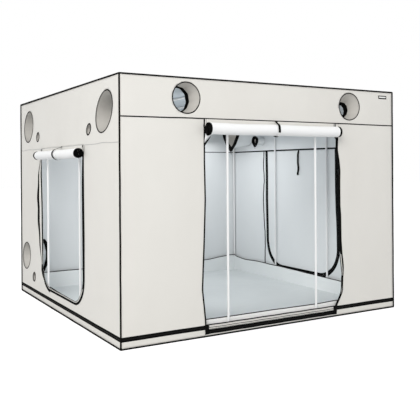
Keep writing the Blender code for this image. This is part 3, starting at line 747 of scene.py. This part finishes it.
def tray_cloth():
    """The spill tray: a floor with soft wrinkles whose four sides stand against the frame."""
    form = tray_form()
    for vert in form.verts:
        x, y, z = vert.co
        inner = rise((TRAY_REACH - max(abs(x), abs(y))) / 0.1)
        crease = 0.0045 * max(0, 1 - 6 * abs(noisy(x * 1.1 + 4, y * 2.3, 8.5)))
        crease += 0.0028 * max(0, 1 - 8 * abs(noisy(x * 2.9, y * 1.2 + 3, 1.5)))
        lift = inner * (crease + 0.001 * (1 + noisy(x * 3, y * 3, 0)))
        edge = z / TRAY_SIDES * tray_edge(x, y)
        away = tray_lean(x, y, z)
        vert.co = (x * away, y * away, TRAY_FLOOR + z + lift + edge)
    # The floor takes the darker floor film and the sides the lighter side film: painted shade and painted
    # light.
    tray = keep("spill_tray_cloth", form, "root", "lining", TRAY_FILM_PAINTED_SHADE, TRAY_SIDE_PAINTED_LIGHT, TRAY_BACK_PAINTED_LIGHT)
    # The outer face and rim take the tray backing, painted lighter as painted light.
    thick(tray, CLOTH, inner=2, rim=2)
    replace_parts(tray, "spill_tray")
    points = []
    for quarter in range(4):
        for x in evenly(-TRAY_REACH, TRAY_REACH, 40)[:-1]:
            y = -TRAY_REACH
            for _ in range(quarter):
                x, y = -y, x
            away = tray_lean(x, y, TRAY_SIDES)
            points.append((x * away, y * away, TRAY_FLOOR + TRAY_SIDES + tray_edge(x, y)))
    rim = black("spill_tray_rim", tube(Line(points, True), 0.0044, 8, 300))


roof_cloth()
floor_cloth()
tray_cloth()


# Piping, seams and base zip


def wobble(seed, s):
    return 0.0012 * noisy(s * 3.1, seed, 2) + 0.0006 * noisy(s * 11, seed, 9)


def bound(here, angle):
    """How thick a bound edge is: fuller towards the back and the right, where more cloth is folded in."""
    share = 0.15 * (here.x + REACH) / 3 + 0.6 * (here.y + REACH) / 3
    return PIPING * (1.14 + share) * (1 + 0.05 * cos(2 * angle))


def edge_piping():
    """Bound seams along the twelve edges, each a slightly uneven cord under tape."""
    low, ends = PIPING + 0.0012, (-REACH, REACH)
    runs = []
    for a, b in product(ends, ends):
        z = low if b < 0 else ROOF
        runs += [((a, b, low), (a, b, ROOF)), ((a, -REACH, z), (a, REACH, z)), ((-REACH, a, z), (REACH, a, z))]
    forms = []
    for number, (start, end) in enumerate(runs):
        points = []
        for share in evenly(0, 1, 60):
            shift = [wobble(number + 30 * axis, share * 3) * size for axis, size in enumerate((1, 1, 0.5))]
            held = rise(min(share, 1 - share) / 0.05)
            points.append(Vector(start).lerp(Vector(end), share) + Vector(shift) * held)
        forms.append(tube(Line(points), lambda s, a, p=points: bound(p[int(s * 60)], a), 10, 110, SLANT))
    knobs = bmesh.new()
    for place in product(ends, ends, (low, ROOF)):
        ball = bmesh.ops.create_icosphere(knobs, subdivisions=2, radius=PIPING)
        bmesh.ops.translate(knobs, vec=place, verts=ball["verts"])
    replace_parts(black("edge_piping_binding", *forms, knobs), "edge_piping")


def base_zip(side):
    """The zip round the base; on the front it ends at the black blocks beside the doorway."""
    middle, half = sum(BASE_ZIP) / 2, (BASE_ZIP[1] - BASE_ZIP[0]) / 2
    spans = [(-REACH, REACH)]
    if side == "front":
        spans = [(-REACH, FRONT_EDGES[0] + 0.035), (FRONT_EDGES[1] - 0.045, REACH)]
    forms = []
    for start, end in spans:
        path = [(u, middle + 0.0015 * noisy(i * 0.4, SEED[side], 1))
                for i, u in enumerate(evenly(start, end, int((end - start) / 0.1)))]
        forms.append(flat_strip(side, path, zip_profile(half)))
    black(f"{side}_base_zip", *forms, kinds=(TAPE, TEETH))


def seam_lines():
    """Bound seams across the walls: black on the front, grey on the other sides, and inside them all."""
    for side in WALLS:
        sway = 0.004 if side == "front" else 0.002
        path = [(u, SEAM[side] + sway * sin(pi * i / 60) - 0.001)
                for i, u in enumerate(evenly(-1.494, 1.494, 60))]
        lift = 0.0035 if side == "right" else 0.0
        outer_half = 0.0052 if side == "front" else 0.0025
        inner_half = 0.0085 if side == "right" else 0.006
        for name, inside, low, high, dark, thread in (
            ("seam", False, lift - outer_half, lift + outer_half, side == "front", GREY_THREAD),
            ("inner_seam", True, -inner_half, inner_half, side in ("front", "right"), DARK_THREAD),
        ):
            slot, material = ("black_tape", TAPE) if dark else ("white_cloth", thread)
            keep(f"{side}_{name}", tape(side, path, low, high, 0.0016, inside=inside), "root", slot, material)


edge_piping()
for side in WALLS:
    base_zip(side)
seam_lines()


# Doors


def unrolled(share):
    """Where on a curtain a row goes: the inverse of the smooth step in rise()."""
    return 0.5 - sin(asin(1 - 2 * share) / 3)


def roll_cuts(left, right, bands):
    """Places across a roll, closer together at its black taped ends."""
    start, end = left + bands[0], right - bands[1]
    return [left, (left + start) / 2, *evenly(start, end, 44), (right + end) / 2, right]


def rolled_door(side, body, roll):
    """A door rolled up outwards round its foot, with the tape of both its edges rolled into black ends."""
    left, right = roll["edges"]
    cuts = roll_cuts(left, right, roll["bands"])
    columns = len(cuts) - 1
    outer, core, turns = roll["radius"] - CLOTH / 2 - 0.0004, 0.006, roll["turns"]
    seed = SEED[side]

    def spot(s, t):
        u = read(cuts, s)
        angle = pi + tau * turns * t
        r = outer - (outer - core) * t
        r *= 1 + 0.018 * cos(2 * angle + 0.6)
        r -= 0.0016 * (0.5 + noisy(cos(angle) * 1.4, sin(angle) * 1.4 + seed, u * 1.6))
        r -= 0.0009 * (0.5 + noisy(cos(angle) * 4, sin(angle) * 4 + seed, u * 5.0))
        end = min(u - left, right - u)
        r += 0.0012 * (1 - rise(abs(end - 0.008) / 0.016))
        if side == "front":
            r += 0.009 * (1 - rise((u - left) / 0.035)) * max(0.0, 0.3 - sin(angle)) * (1 - 0.6 * t)
        sag = 0.003 * sin(pi * min(end / 0.7, 1.0)) ** 2
        out = ROLL_WALL_GAP + roll["radius"] + r * cos(angle)
        return at(side, u, roll["middle"] - sag + r * sin(angle), out)

    width = right - left
    form = grid(columns, int(turns * 26), spot, (width, FRONT_SEAM - FRONT_SILL),
                lambda s, t: 1 if not 2 <= s * columns <= columns - 2 else 0)
    cloth = keep(f"{side}_door_rolled", form, body, "white_cloth", ROLL_FACE, TAPE, OUTER, TAPE)
    baked(thick(cloth, CLOTH, inner=2))
    flattened(cloth)
    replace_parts(cloth, body)
    curtain = door_curtain(side, roll)


def door_curtain(side, roll):
    """The top of a rolled door, from its seam down behind the roll."""
    left, right = roll["edges"]
    border = (0.0, 0.002, 0.005, 0.016, 0.019)
    cuts = [left + in_from for in_from in border] + evenly(left + 0.03, right - 0.03, 44)
    cuts += [right - in_from for in_from in border[::-1]]
    columns = len(cuts) - 1
    taped = {0, 1, 3, columns - 1, columns - 2, columns - 4}
    top, low = roll["seam"] - 0.001, roll["middle"]

    def spot(s, t):
        u = read(cuts, s)
        share = unrolled(t)
        ripple = 0.0012 * noisy(u * 2.2, SEED[side], share * 2) * share
        return at(side, u, top + (low - top) * share, 0.0022 + (ROLL_WALL_GAP - 0.0014) * share + ripple)

    form = grid(columns, 60, spot, (right - left, 0.1), lambda s, t: 1 if int(s * columns) in taped else 0)
    bmesh.ops.reverse_faces(form, faces=form.faces)
    curtain = keep(f"{side}_door_curtain", form, None, "white_cloth", OUTER, TAPE, LINING, TAPE)
    baked(thick(curtain, 0.001, inner=2))
    at(side, 0, top)
    at(side, 0, low)
    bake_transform(curtain)
    return curtain


def roll_strap(side, node, roll, along, white, lean):
    """The strap that holds a roll up: black webbing with a white stretch of hook tape."""
    radius, width = roll["radius"] + 0.0016, 0.032 if side == "left" else 0.024
    centre = ROLL_WALL_GAP + roll["radius"]
    drop = roll["seam"] - roll["middle"]
    w, v = 0.0035 - centre, drop + 0.001
    start = atan2(v, w) - atan2((w * w + v * v - radius * radius) ** 0.5, radius)
    section = [(w, v + 0.005, 0), (w, v, 0)]
    section += [(radius * cos(angle), radius * sin(angle), 0) for angle in evenly(start, -pi, 36)]
    line = Line([*section, (-centre + 0.001, drop - 0.01, 0)])

    def spot(s, t):
        here, ahead = line.point(s), line.heading(s, 0.002)
        crown = 0.0012 if abs(t - 0.5) < 0.49 else 0.0
        crown += 0.0012 * (1 - rise(abs(s - sum(white) / 2) / 0.2)) + 0.006 * (1 - rise(abs(s - 0.67) / 0.14))
        u = along + (t - 0.5) * width + between(s, (0, 0.15, 0.35, 0.6, 0.8, 1), lean)
        return at(side, u, roll["middle"] + here.y + ahead.x * crown, centre + here.x - ahead.y * crown)

    form = grid(90, 6, spot, (line.length, width), lambda s, t: 1 if white[0] < s < white[1] else 0)
    strap = keep(f"{side}_door_roll_strap", form, "root", "black_webbing", WEBBING, WHITE_WEB)
    baked(thick(strap, 0.0012))
    flattened(strap)
    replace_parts(strap, node)
    return strap


def half_zip(width):
    """Across one side of an open zip: stitched tape, then a line of teeth at its free edge."""
    return [(0.0, 0.0, 0), (0.001, 0.0012, 0), (0.0025, 0.0017, 0), (0.004, 0.0012, 0),
            (width - 0.006, 0.0012, 1), (width - 0.004, 0.0028, 1),
            (width - 0.001, 0.0026, 1), (width, 0.0008, 1)]


def flat_zip(start, facing, teeth, end):
    """Across an open zip that lies flat: its tape, then where its white facing and its teeth start."""
    return [(start, 0.0, 0), (start + 0.001, 0.0018, 0), (facing - 0.001, 0.0018, 0), (facing, 0.001, 2),
            (teeth, 0.001, 2), (teeth + 0.001, 0.0018, 1), (end - 0.001, 0.0018, 1), (end, 0.0, 1)]


def front_doorway_tapes():
    """The open zip of the front doorway: bound edges, and below the roll the tape turned in by its weight."""
    left, right = FRONT_EDGES
    foot, head = 0.1, 1.745
    down = [(left, v) for v in evenly(head, foot, 40)]
    up = [(right, v) for v in evenly(foot, head, 40)]
    forms = [flat_strip("front", path, half_zip(width), 0.0004, 0.03, lambda u, v, turn=turn: turn)
             for path, width, turn in ((down, 0.03, -1.35), ([p for p in up if p[1] > 0.56], 0.022, -0.9),
                                       ([p for p in up if p[1] < 0.4], 0.019, -0.9))]
    forms.append(flat_strip("front", [p for p in up if 0.36 < p[1] < 0.6], flat_zip(0.0, 0.016, 0.023, 0.032),
                            0.0004, 0.03, reach=lambda v: 0.55 + 0.6 * rise((v - 0.36) / 0.13)))
    thick(black("front_doorway_tape", *forms, kinds=(TAPE, TEETH, OUTER)), 0.001)
    far = [(left, v) for v in evenly(FRONT_SEAM - 0.004, foot, 50)]
    near = [(right, v) for v in evenly(foot, 1.74, 50)]
    black("front_doorway_binding", tape("front", far, -0.002, 0.0125, 0.0022),
          tape("front", near, -0.001, 0.011, 0.0022))
    sides = []
    for edge, low, high, line in ((left, 0.0, 0.022, 0.0), (right, -0.034, 0.0, -0.006)):
        path = [(edge, v) for v in evenly(FRONT_SEAM - 0.002, FRONT_SEAM - 0.114, 8)]
        shape = [(low, 0.0, 0), (low + 0.001, 0.001, 0), (high - 0.001, 0.001, 0), (high, 0.0, 0)]
        if line:
            shape[:1] = [(low + line, 0.0, 1), (low + line + 0.001, 0.0016, 1), (low, 0.0016, 1)]
        sides.append(flat_strip("front", path, shape, 0.0002))
    thick(keep("front_doorway_facing", joined(sides), "root", "white_cloth", OUTER, TAPE), 0.0008)


def door_corner():
    """The bottom corner of the front door, which hangs out under its roll's left end with its black tape."""
    left, middle, back = FRONT_ROLL["edges"][0] - 0.003, FRONT_ROLL["middle"], ROLL_WALL_GAP + 0.004

    def corner(s, t):
        v = middle - 0.048 - 0.075 * s + 0.012 * t * (1 - s)
        out = back + 0.02 * (1 - s) ** 2 + 0.0015 * sin(t * 5)
        return at("front", left + 0.075 * (1 - s) ** 1.3 * t, v, out)

    def edge(s, t):
        v = middle - 0.121 + 0.056 * s - (0.036 - 0.024 * s) * t
        return at("front", left + 0.052 * s - 0.004 * t, v, back + 0.002 + 0.012 * s)

    forms = [grid(12, 8, corner, (0.08, 0.07)), grid(12, 3, edge, (0.08, 0.01), lambda s, t: 1)]
    piece = keep("front_door_corner", joined(forms), "front_door_roll", "white_cloth", ROLL_FACE, TAPE)
    thick(piece, 0.001, 0.0)


def left_doorway_tape():
    """The open zip tape of the left doorway along its near edge and its foot, and bound edges."""

    def curl(u, v):
        near = rise((u - 0.35) / 0.25)
        return near * (0.24 + 0.14 * rise((v - 0.35) / 0.5) - 0.3 * rise((v - 1.25) / 0.35))

    whole = rounded_door(LEFT_EDGES)
    path = [(u, v) for u, v in whole if u > 0 or v < 0.36]
    near = [(u, v) for u, v in path if u > LEFT_EDGES[1] - 0.02]
    foot = [(u, v) for u, v in path if u <= LEFT_EDGES[1] - 0.02]
    forms = [flat_strip("left", line, profile, 0.0004, 0.02, curl) for line, profile in
             (([foot[-1], *near], half_zip(0.03)), (foot, flat_zip(-0.002, 0.022, 0.028, 0.035)))]
    zip_tape = black("left_doorway_tape", *forms, kinds=(TAPE, TEETH, OUTER))
    baked(thick(zip_tape, 0.001))
    far = [(u, v) for u, v in whole if u < 0]
    piping = black("left_doorway_piping", tape("left", far, -0.014, 0.003, 0.002, step=0.02))
    for piece in (zip_tape, piping):
        flattened(piece)


def left_doorway_flap():
    """The far zip half of the left doorway, with its white facing, which stands out of the wall."""
    heights = (0.24, 0.3, 0.36, 0.43, 0.51, 0.62, 0.83, 1.0, 1.12, 1.36, 1.52, 1.655)
    reaches = (0.001, 0.012, 0.017, 0.013, 0.024, 0.037, 0.0505, 0.0555, 0.056, 0.041, 0.018, 0.006)

    def spot(s, t):
        v = 0.24 + 1.41 * s
        out = between(v, heights, reaches) * (1 + 0.05 * sin(v * 23))
        taped, teeth = min(0.0145 / out, 0.4), 0.78 - 0.16 * rise((out - 0.025) / 0.03)
        share = read((0, taped / 2, taped, (taped + teeth) / 2, teeth, 0.86, 0.94, 1), t)
        ridge = 0.0016 if 0.9 < share < 0.97 else 0.0
        belly = 0.006 * sin(pi * share) * rise(out / 0.05)
        inward = CORNER - sqrt(CORNER ** 2 - max(SIDE_SILL + CORNER - v, 0.0) ** 2)
        base = on_wall("left", LEFT_EDGES[0] + inward + 0.001 + belly + ridge, v, 0.001)
        return base + Vector((-out * share, 0, 0))

    form = grid(94, 7, spot, (1.41, 0.055), lambda s, t: 0 if t * 7 < 2 or s < 0.13 else 2 if t * 7 < 4 else 1)
    flap = keep("left_doorway_flap", form, "root", "white_cloth", TAPE, TEETH, OUTER)
    baked(thick(flap, 0.0012, 0.0))
    flattened(flap)


def closed_door():
    """The right door, zipped shut: its cloth and its half of the zip ride with it."""
    door = cut_panel("right_door_cloth", (56, 60), (-0.7, 0.74), (SIDE_SILL - 0.01, SIDE_SEAM), "INTERSECT",
                     [rounded_door(RIGHT_EDGES, SIDE_SEAM - 0.0006, 0.003, RIGHT_CORNER)])
    stand(door, "right", "right_door", "right_door")
    for name, turned, body in (("right_door_zip", 1, "right_door"), ("right_doorway_zip", -1, "root")):
        path = rounded_door(RIGHT_EDGES, SIDE_SEAM - 0.004, turned * 0.0004, RIGHT_CORNER)
        forms = []
        for inside, edge in ((False, 0.0125), (True, 0.0235)):
            half = ((0.0, 0.003, 1), (0.0035, 0.003, 1), (0.005, 0.0013, 0),
                    (edge, 0.0013, 0), (edge + 0.001, 0.0, 0))
            half = [(turned * across, height, kind) for across, height, kind in half][::turned]
            forms.append(flat_strip("right", path, half, step=0.02, inside=inside))
        black(name, *forms, kinds=(TAPE, TEETH), body=body)
    heights = (0.15, 0.35, 0.58, 0.7, 0.967, 1.075, 1.28, 1.46, 1.655)
    shifts = (-0.03, -0.016, -0.013, 0.0, 0.009, 0.009, -0.012, 0.006, -0.016)
    tuck = [(RIGHT_EDGES[1] + 0.071 + between(v, heights, shifts) + 0.0015 * sin(i * 1.1), v)
            for i, v in enumerate(evenly(SIDE_SEAM - 0.002, SIDE_SEAM - 1.502, 80))]
    black("right_wall_tuck", tape("right", tuck, -0.0095, 0.0095, 0.0015, inside=True), kinds=(TAPE,))


def hanging_strap():
    """The spare strap inside, hung from the seam over the right door and slightly kinked from storage."""
    length, width = 0.31, 0.024

    def spot(s, t):
        twist = 0.9 * rise(s / 0.2)
        u = 0.03 + (t - 0.5) * width * cos(twist) + 0.006 * sin(s * 7.5) * s + 0.004 * sin(s * 15) * s
        w = -CLOTH - 0.0026 - t * width * sin(twist) - 0.0028 * sin(pi * s) ** 2 + 0.0008 * sin(s * 12) * s
        return at("right", u, SIDE_SEAM - 0.002 - s * length, w)

    form = grid(50, 4, spot, (length, width))
    strap = keep("right_door_hanging_strap", form, "right_door_strap", "black_webbing", WEBBING)
    thick(strap, 0.0014, 0.0)
    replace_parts(strap, "right_door_strap")


front_strap = roll_strap("front", "front_door_strap", FRONT_ROLL, 0.006, (0.44, 0.56),
                         (0.025, -0.005, -0.021, -0.014, -0.006, 0.0))
left_strap = roll_strap("left", "left_door_strap", LEFT_ROLL, 0.042, (0.62, 0.7),
                        (0.0, 0.002, 0.006, 0.01, 0.01, 0.01))
rolled_door("front", "front_door_roll", FRONT_ROLL)
rolled_door("left", "left_door_roll", LEFT_ROLL)
front_doorway_tapes()
door_corner()
left_doorway_tape()
left_doorway_flap()
closed_door()
hanging_strap()


# Vents


def duct_sleeve(name, side, u, v, radius, length, mouth, droop):
    """A cloth sleeve inside a vent, gathered at its free end by a padded black hem that hangs to a point."""
    roll = 0.006 if side == "front" else 0.015 if "low" in name else 0.019 if radius > LARGE else 0.0145
    hem = 0.044 if side == "front" else roll * 2.2
    shares = [(1 - hem / length) * i / 14 for i in range(15)]
    cuffs = len(shares) - 1
    outs = [0.0] * len(shares)
    for row in range(1, 10):
        angle = pi * 1.6 * row / 9
        shares.append(1 - hem / length + (hem - roll + roll * sin(angle)) / length)
        outs.append(roll * (1 - cos(angle)) * 0.9)
    rows = len(shares) - 1
    tube_radius = radius - 0.0035
    seed = u * 3 + v * 7 + SEED[side]
    lean, sink = LEANS.get(name, (0.0, 0.0))

    def spot(s, t):
        share, out = read(shares, s), read(outs, s)
        angle = tau * t
        x, y = cos(angle), sin(angle)
        low = ((1 - y) / 2) ** 2
        pinch = 0.8 * low * low * share if droop else 0.0
        narrow = 1 - (1 - mouth) * share
        gather = 1 + share * (0.02 * sin(11 * angle + seed) + 0.05 * noisy(x * 1.3, y * 1.3, seed + share))
        belly = 1 - 0.03 * sin(pi * share) - 0.03 * share
        far = tube_radius * gather * belly * narrow + out
        across = u + (far * x * (1 - pinch) + lean * share)
        high = v + (far * y - tube_radius * droop * low * share + sink * share)
        du, dv = askew(side, across, high)
        pulled = WALLS[side].to_3x3() @ Vector((du, dv, 0)) * (1 - rise(share / 0.8))
        return at(side, across, high, -0.0022 - (length - 0.0022) * share) + pulled

    form = grid(rows, 64, spot, (length, tau * radius), lambda s, t: 1 if s * rows > cuffs else 0, wrap=True)
    # The sleeve's inner faces take the sleeve cloth, which is painted shade.
    sleeve = keep(f"{name}_cloth", form, None, "white_cloth", LINING, TAPE, SLEEVE_PAINTED_SHADE, TAPE)
    baked(thick(sleeve, 0.0012, inner=2))
    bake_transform(sleeve)
    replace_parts(sleeve, name)
    point = v + sink - tube_radius * (0.97 * mouth + droop) - roll
    size = 1.0 if radius > LARGE else 0.62
    toggle = drawstring_toggle(name, side, u + lean, point, -length + hem * 0.5, size)


def drawstring_toggle(name, side, u, v, w, size):
    """A cord lock at the point of a sleeve's hem, with the folded end of its tape below it."""
    barrel = Line([at(side, u, v + 0.006 * size, w), at(side, u, v - 0.02 * size, w)])
    body = tube(barrel, lambda s, a: size * (0.0062 + 0.0016 * sin(pi * s)), 14, 8, (0.7, 0.7, 0.1))

    def tail(s, t):
        across = (t - 0.5) * 0.009 + 0.004 * sin(s * 3)
        return at(side, u + size * across, v - size * (0.02 + 0.032 * s), w + 0.004 * size * s)

    strap = black(f"{name}_tail", grid(10, 3, tail, (0.03, 0.009)), kinds=(TAPE,), body=None)
    baked(thick(strap, 0.0014, 0.0))
    form = bmesh.new()
    form.from_mesh(strap.data)
    bpy.data.objects.remove(strap, do_unlink=True)
    return black(f"{name}_toggle", body, form, kinds=(TAPE,), body=name)


def vent_rings(side):
    """Bound rims round the vents of a wall, outside and in."""
    out, within = [], []
    for u, v, radius in HOLES[side]:
        steps = 64 if radius > LARGE else 40
        edge, step = ring(u, v, radius, steps), tau * radius / steps
        band = (-0.0005, 0.0085) if side == "front" else (-0.001, 0.0095 if radius > LARGE else 0.0125)
        out.append(tape(side, edge, *band, 0.002, base=0.0004, step=step, closed=True))
        within.append(tape(side, edge, -0.012, 0.002, 0.0014, step=step, closed=True, inside=True))
    black(f"{side}_vent_binding", *out)
    keep(f"{side}_vent_stitching", joined(within), "root", "white_cloth", LINING)


for name, vent in VENTS.items():
    duct_sleeve(name, *vent)
for side in ("front", "right", "left"):
    vent_rings(side)


# Threshold and patch


def threshold():
    """The layers under the front doorway: bound sill, welts, cord lines, the zip and its end blocks."""
    left, right = FRONT_EDGES

    def level(v, past=0.0):
        return [(u, v + 0.0008 * sin(i * 0.7)) for i, u in enumerate(evenly(left - past, right + past, 50))]

    def cord(v, half, height):
        return tape("front", level(v), -half, half, height)

    sill = [(-0.005, 0.0, 0), (-0.0045, 0.004, 0), (0.0, 0.0058, 0), (0.003, 0.004, 0), (0.003, -0.004, 0)]
    black("front_sill_binding", flat_strip("front", level(0.1035, 0.004), sill))
    black("front_threshold_cords", cord(0.0785, 0.0022, 0.003), cord(0.065, 0.0012, 0.002))
    welts = [cord(0.0715, 0.004, 0.0035), cord(0.02, 0.003, 0.003)]
    keep("front_threshold_welts", joined(welts), "root", "white_cloth", OUTER)
    black("front_threshold_zip", flat_strip("front", level(0.043), zip_profile(0.019)), kinds=(TAPE, TEETH))
    block = [(-0.04, 0.0, 0), (-0.0385, 0.0038, 0), (-0.02, 0.0042, 0),
             (0.02, 0.0044, 0), (0.0385, 0.0038, 0), (0.04, 0.0, 0)]
    blocks = [flat_strip("front", [(u, 0.063) for u in evenly(start, end, 4)], block, 0.001, 0.01)
              for start, end in ((left - 0.004, left + 0.036), (right - 0.044, right + 0.002))]
    thick(black("front_threshold_ends", *blocks, kinds=(TAPE,)), 0.001)


def plain_patch():
    """A bare woven patch with a black bound edge, near the top right of the front."""
    edge, inner = [(u, 2.143) for u in evenly(1.305, 1.415, 12)], [(u, 2.144) for u in evenly(1.315, 1.405, 12)]
    patch = tape("front", inner, -0.0075, 0.0075, base=0.0014, step=0.01)
    black("front_patch_edge", tape("front", edge, -0.017, 0.017, 0.0014, step=0.01), kinds=(TAPE,))
    keep("front_patch", patch, "root", "white_cloth", PATCH)


threshold()
plain_patch()


# Frame

ENDS = (("front", -1), ("back", 1))
SIDES = (("left", -1), ("right", 1))
LEVELS = (("bottom", FRAME_LOW, 1), ("top", FRAME_HIGH, -1))


def rod(start, end, radius=TUBE, steps=8):
    """A straight round part of the frame; its radius may vary along it."""
    return tube(Line([start, end]), radius, 24, steps, SLANT)


def coated(node, forms, name="tube", body="root"):
    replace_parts(keep(f"{node}_{name}", joined(forms), body, "white_tube", TUBE_COAT), node)


def straight(node, start, end):
    """One straight tube of the frame."""
    coated(node, [rod(start, end, steps=max(2, int(Line([start, end]).length / 0.4)))])


def tee_lip(s, angle):
    return SOCKET_FACE - 0.001 * rise((abs(s - 0.5) - 0.47) / 0.03)


def socket(middle, heading):
    """A corner fitting's socket: a sleeve with a rolled lip at its mouth."""

    def lip(s, angle):
        return SOCKET_FACE + 0.0009 * rise((s - 0.86) / 0.06) - 0.0012 * rise((s - 0.97) / 0.03)

    return rod(middle, Vector(middle) + Vector(heading) * 0.06, lip, 34)


def corner_fittings():
    for (level, z, up), (end, back), (side, right) in product(LEVELS, ENDS, SIDES):
        middle = (right * FRAME_REACH, back * FRAME_REACH, z)
        ball = bmesh.new()
        core = bmesh.ops.create_uvsphere(ball, u_segments=24, v_segments=12, radius=SOCKET_FACE)
        bmesh.ops.translate(ball, vec=middle, verts=core["verts"])
        sockets = [socket(middle, heading) for heading in ((0, 0, up), (-right, 0, 0), (0, -back, 0))]
        coated(f"{level}_connector_{end}_{side}", [*sockets, ball], "fitting")


def wall_post(node, x, y, along):
    """An upright with a tee at its foot and head, round the rails."""
    forms = [rod((x, y, FRAME_LOW), (x, y, FRAME_HIGH))]
    for _, z, up in LEVELS:
        middle, half = Vector((x, y, z)), Vector(along) * 0.03
        forms.append(rod(middle - half, middle + half, tee_lip, 30))
        forms.append(rod(middle, middle + Vector((0, 0, up * 0.045)),
                         lambda s, a: TUBE + 0.0018 - 0.0012 * rise((s - 0.93) / 0.07), 30))
    coated(node, forms)


def roof_bar(node, x):
    forms = [rod((x, -FRAME_REACH, FRAME_HIGH), (x, FRAME_REACH, FRAME_HIGH))]
    for y in (-FRAME_REACH, FRAME_REACH):
        forms.append(rod((x - 0.02, y, FRAME_HIGH), (x + 0.02, y, FRAME_HIGH), tee_lip, 30))
    coated(node, forms, body=node)


def frame_pieces():
    corner_fittings()
    inset = 0.0153  # how far short of a fitting's middle a tube ends
    inner = FRAME_REACH - inset
    for end, back in ENDS:
        y = back * FRAME_REACH
        for side, right in SIDES:
            x = right * FRAME_REACH
            straight(f"corner_post_{end}_{side}", (x, y, FRAME_LOW + inset), (x, y, FRAME_HIGH - inset))
        for level, z, _ in LEVELS:
            straight(f"{level}_rail_{end}", (-inner, y, z), (inner, y, z))
        for side, right in SIDES:
            shift = FRONT_POST_SHIFT if (end, side) == ("front", "left") else 0.0
            wall_post(f"{end}_post_{side}", right * POST_PLACE + shift, y, (1, 0, 0))
    for side, right in SIDES:
        x = right * FRAME_REACH
        for level, z, _ in LEVELS:
            straight(f"{level}_rail_{side}", (x, -inner, z), (x, inner, z))
        for end, back in ENDS:
            wall_post(f"{side}_post_{end}", x, back * POST_PLACE, (0, 1, 0))
    for side, right in SIDES:
        roof_bar(f"roof_bar_{side}", right * BAR_PLACE)


frame_pieces()


# Zip sliders


def zip_slider(side, u, v):
    """A slider on a doorway's edge, with a loop pull hanging from its bridge."""
    node = f"{side}_zip_slider"
    form = bmesh.new()
    body = bmesh.ops.create_cube(form, size=1)["verts"]
    bmesh.ops.scale(form, vec=(0.011, 0.024, 0.009), verts=body)
    for vert in body:
        if vert.co.y < 0:
            vert.co.x *= 0.72
    bmesh.ops.translate(form, vec=(-0.003, 0, 0), verts=body)
    bmesh.ops.bevel(form, geom=form.edges[:], offset=0.0018, segments=3, profile=0.5, affect="EDGES",
                    material=-1)
    arch = [(-0.003, 0.007 * cos(turn), 0.0045 + 0.0035 * sin(turn)) for turn in evenly(0, pi, 10)]
    pull = [(-0.003 + 0.0038 * cos(turn), -0.011 + 0.014 * sin(turn), 0.0066)
            for turn in evenly(0, tau, 24)[:-1]]
    bridge = tube(Line(arch), 0.0013, 8, 20, (1, 0, 0))
    loop = tube(Line(pull, True), 0.0011, 8, 40)
    form = joined([form, bridge, loop])
    for vert in form.verts:
        vert.co = WALLS[side] @ (vert.co + Vector((u + 0.003 + edge_bow(side, u, v), v, -0.001)))
    bmesh.ops.recalc_face_normals(form, faces=form.faces)
    piece = keep(f"{side}_slider_and_pull", form, node, "slider_metal", SLIDER)
    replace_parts(piece, node)


zip_slider("front", FRONT_EDGES[0], 1.8)
zip_slider("left", LEFT_EDGES[0], 1.595)
zip_slider("right", RIGHT_EDGES[0], 1.595)


# Camera, light and stage


def camera():
    lens = bpy.data.cameras.new("photo_camera")
    lens.lens = 55.74
    lens.sensor_width = 36
    lens.shift_y = -0.1024
    turn, roll = 0.5328, -0.0067
    ahead = Vector((sin(turn), cos(turn), 0))
    level = Vector((cos(turn), -sin(turn), 0))
    above = level.cross(ahead)
    right = level * cos(roll) + above * sin(roll)
    up = above * cos(roll) - level * sin(roll)
    eye = linked("photo_camera", lens)
    placed = Matrix((right, up, -ahead)).transposed().to_4x4()
    placed.translation = (-3.4961, -6.2916, 1.4501)
    eye.matrix_world = placed
    bpy.context.scene.camera = eye


def lamp(name, spot, target, size, power, colour=(1, 1, 1)):
    light = bpy.data.lights.new(name, "AREA")
    light.shape, light.energy, light.color = "RECTANGLE", power, colour
    light.size, light.size_y = size
    holder = linked(name, light)
    holder.location = spot
    holder.rotation_euler = (Vector(target) - Vector(spot)).to_track_quat("-Z", "Y").to_euler()
    holder.visible_camera = False


def floor_paint():
    """Pale paint that glows only where the camera sees it, so that the floor shows as white."""
    paint = bpy.data.materials.new("studio_floor")
    nodes = Nodes(paint)
    diffuse = nodes.add("BsdfDiffuse", Color=(0.8, 0.8, 0.8, 1)).outputs[0]
    glow = nodes.add("Emission", Strength=0.55).outputs[0]
    both = nodes.add("AddShader", diffuse, glow).outputs[0]
    pick = nodes.add("MixShader", nodes.add("LightPath").outputs["Is Camera Ray"], diffuse, both)
    nodes.add("OutputMaterial", pick.outputs[0])
    return paint


def sky():
    """A dim sky that shows as white to the camera, in reflections and through clear faces."""
    world = bpy.context.scene.world or bpy.data.worlds.new("studio")
    bpy.context.scene.world = world
    nodes = Nodes(world)
    dim = nodes.add("Background", Color=(0.98, 0.99, 1, 1), Strength=0.72)
    white = nodes.add("Background", Color=(1, 1, 1, 1), Strength=1.0)
    seen = nodes.add("LightPath").outputs
    sight = seen["Is Camera Ray"]
    for other in ("Is Glossy Ray", "Is Transmission Ray"):
        sight = nodes.add("Math", sight, seen[other], operation="MAXIMUM").outputs[0]
    pick = nodes.add("MixShader", sight, dim.outputs[0], white.outputs[0])
    nodes.add("OutputWorld", pick.outputs[0])


def stage():
    floor = bpy.data.meshes.new("floor")
    form = squares(1, 1, 40)
    form.to_mesh(floor)
    form.free()
    floor.materials.append(floor_paint())
    linked("floor", floor)
    sky()
    lamp("key", (-8.8, -9.3, 8.0), (-0.4, -0.6, 1.0), (7, 6), 880, (1, 0.985, 0.96))
    lamp("inner_fill", (0.4, 0.8, 1.8), (0.4, 0.8, 0.0), (1.6, 1.2), 13)
    lamp("front_fill", (-0.4, -0.75, 1.2), (0.1, 1.5, 1.1), (1.3, 1.2), 9)
    bpy.context.scene.view_settings.view_transform = "Standard"


camera()
stage()
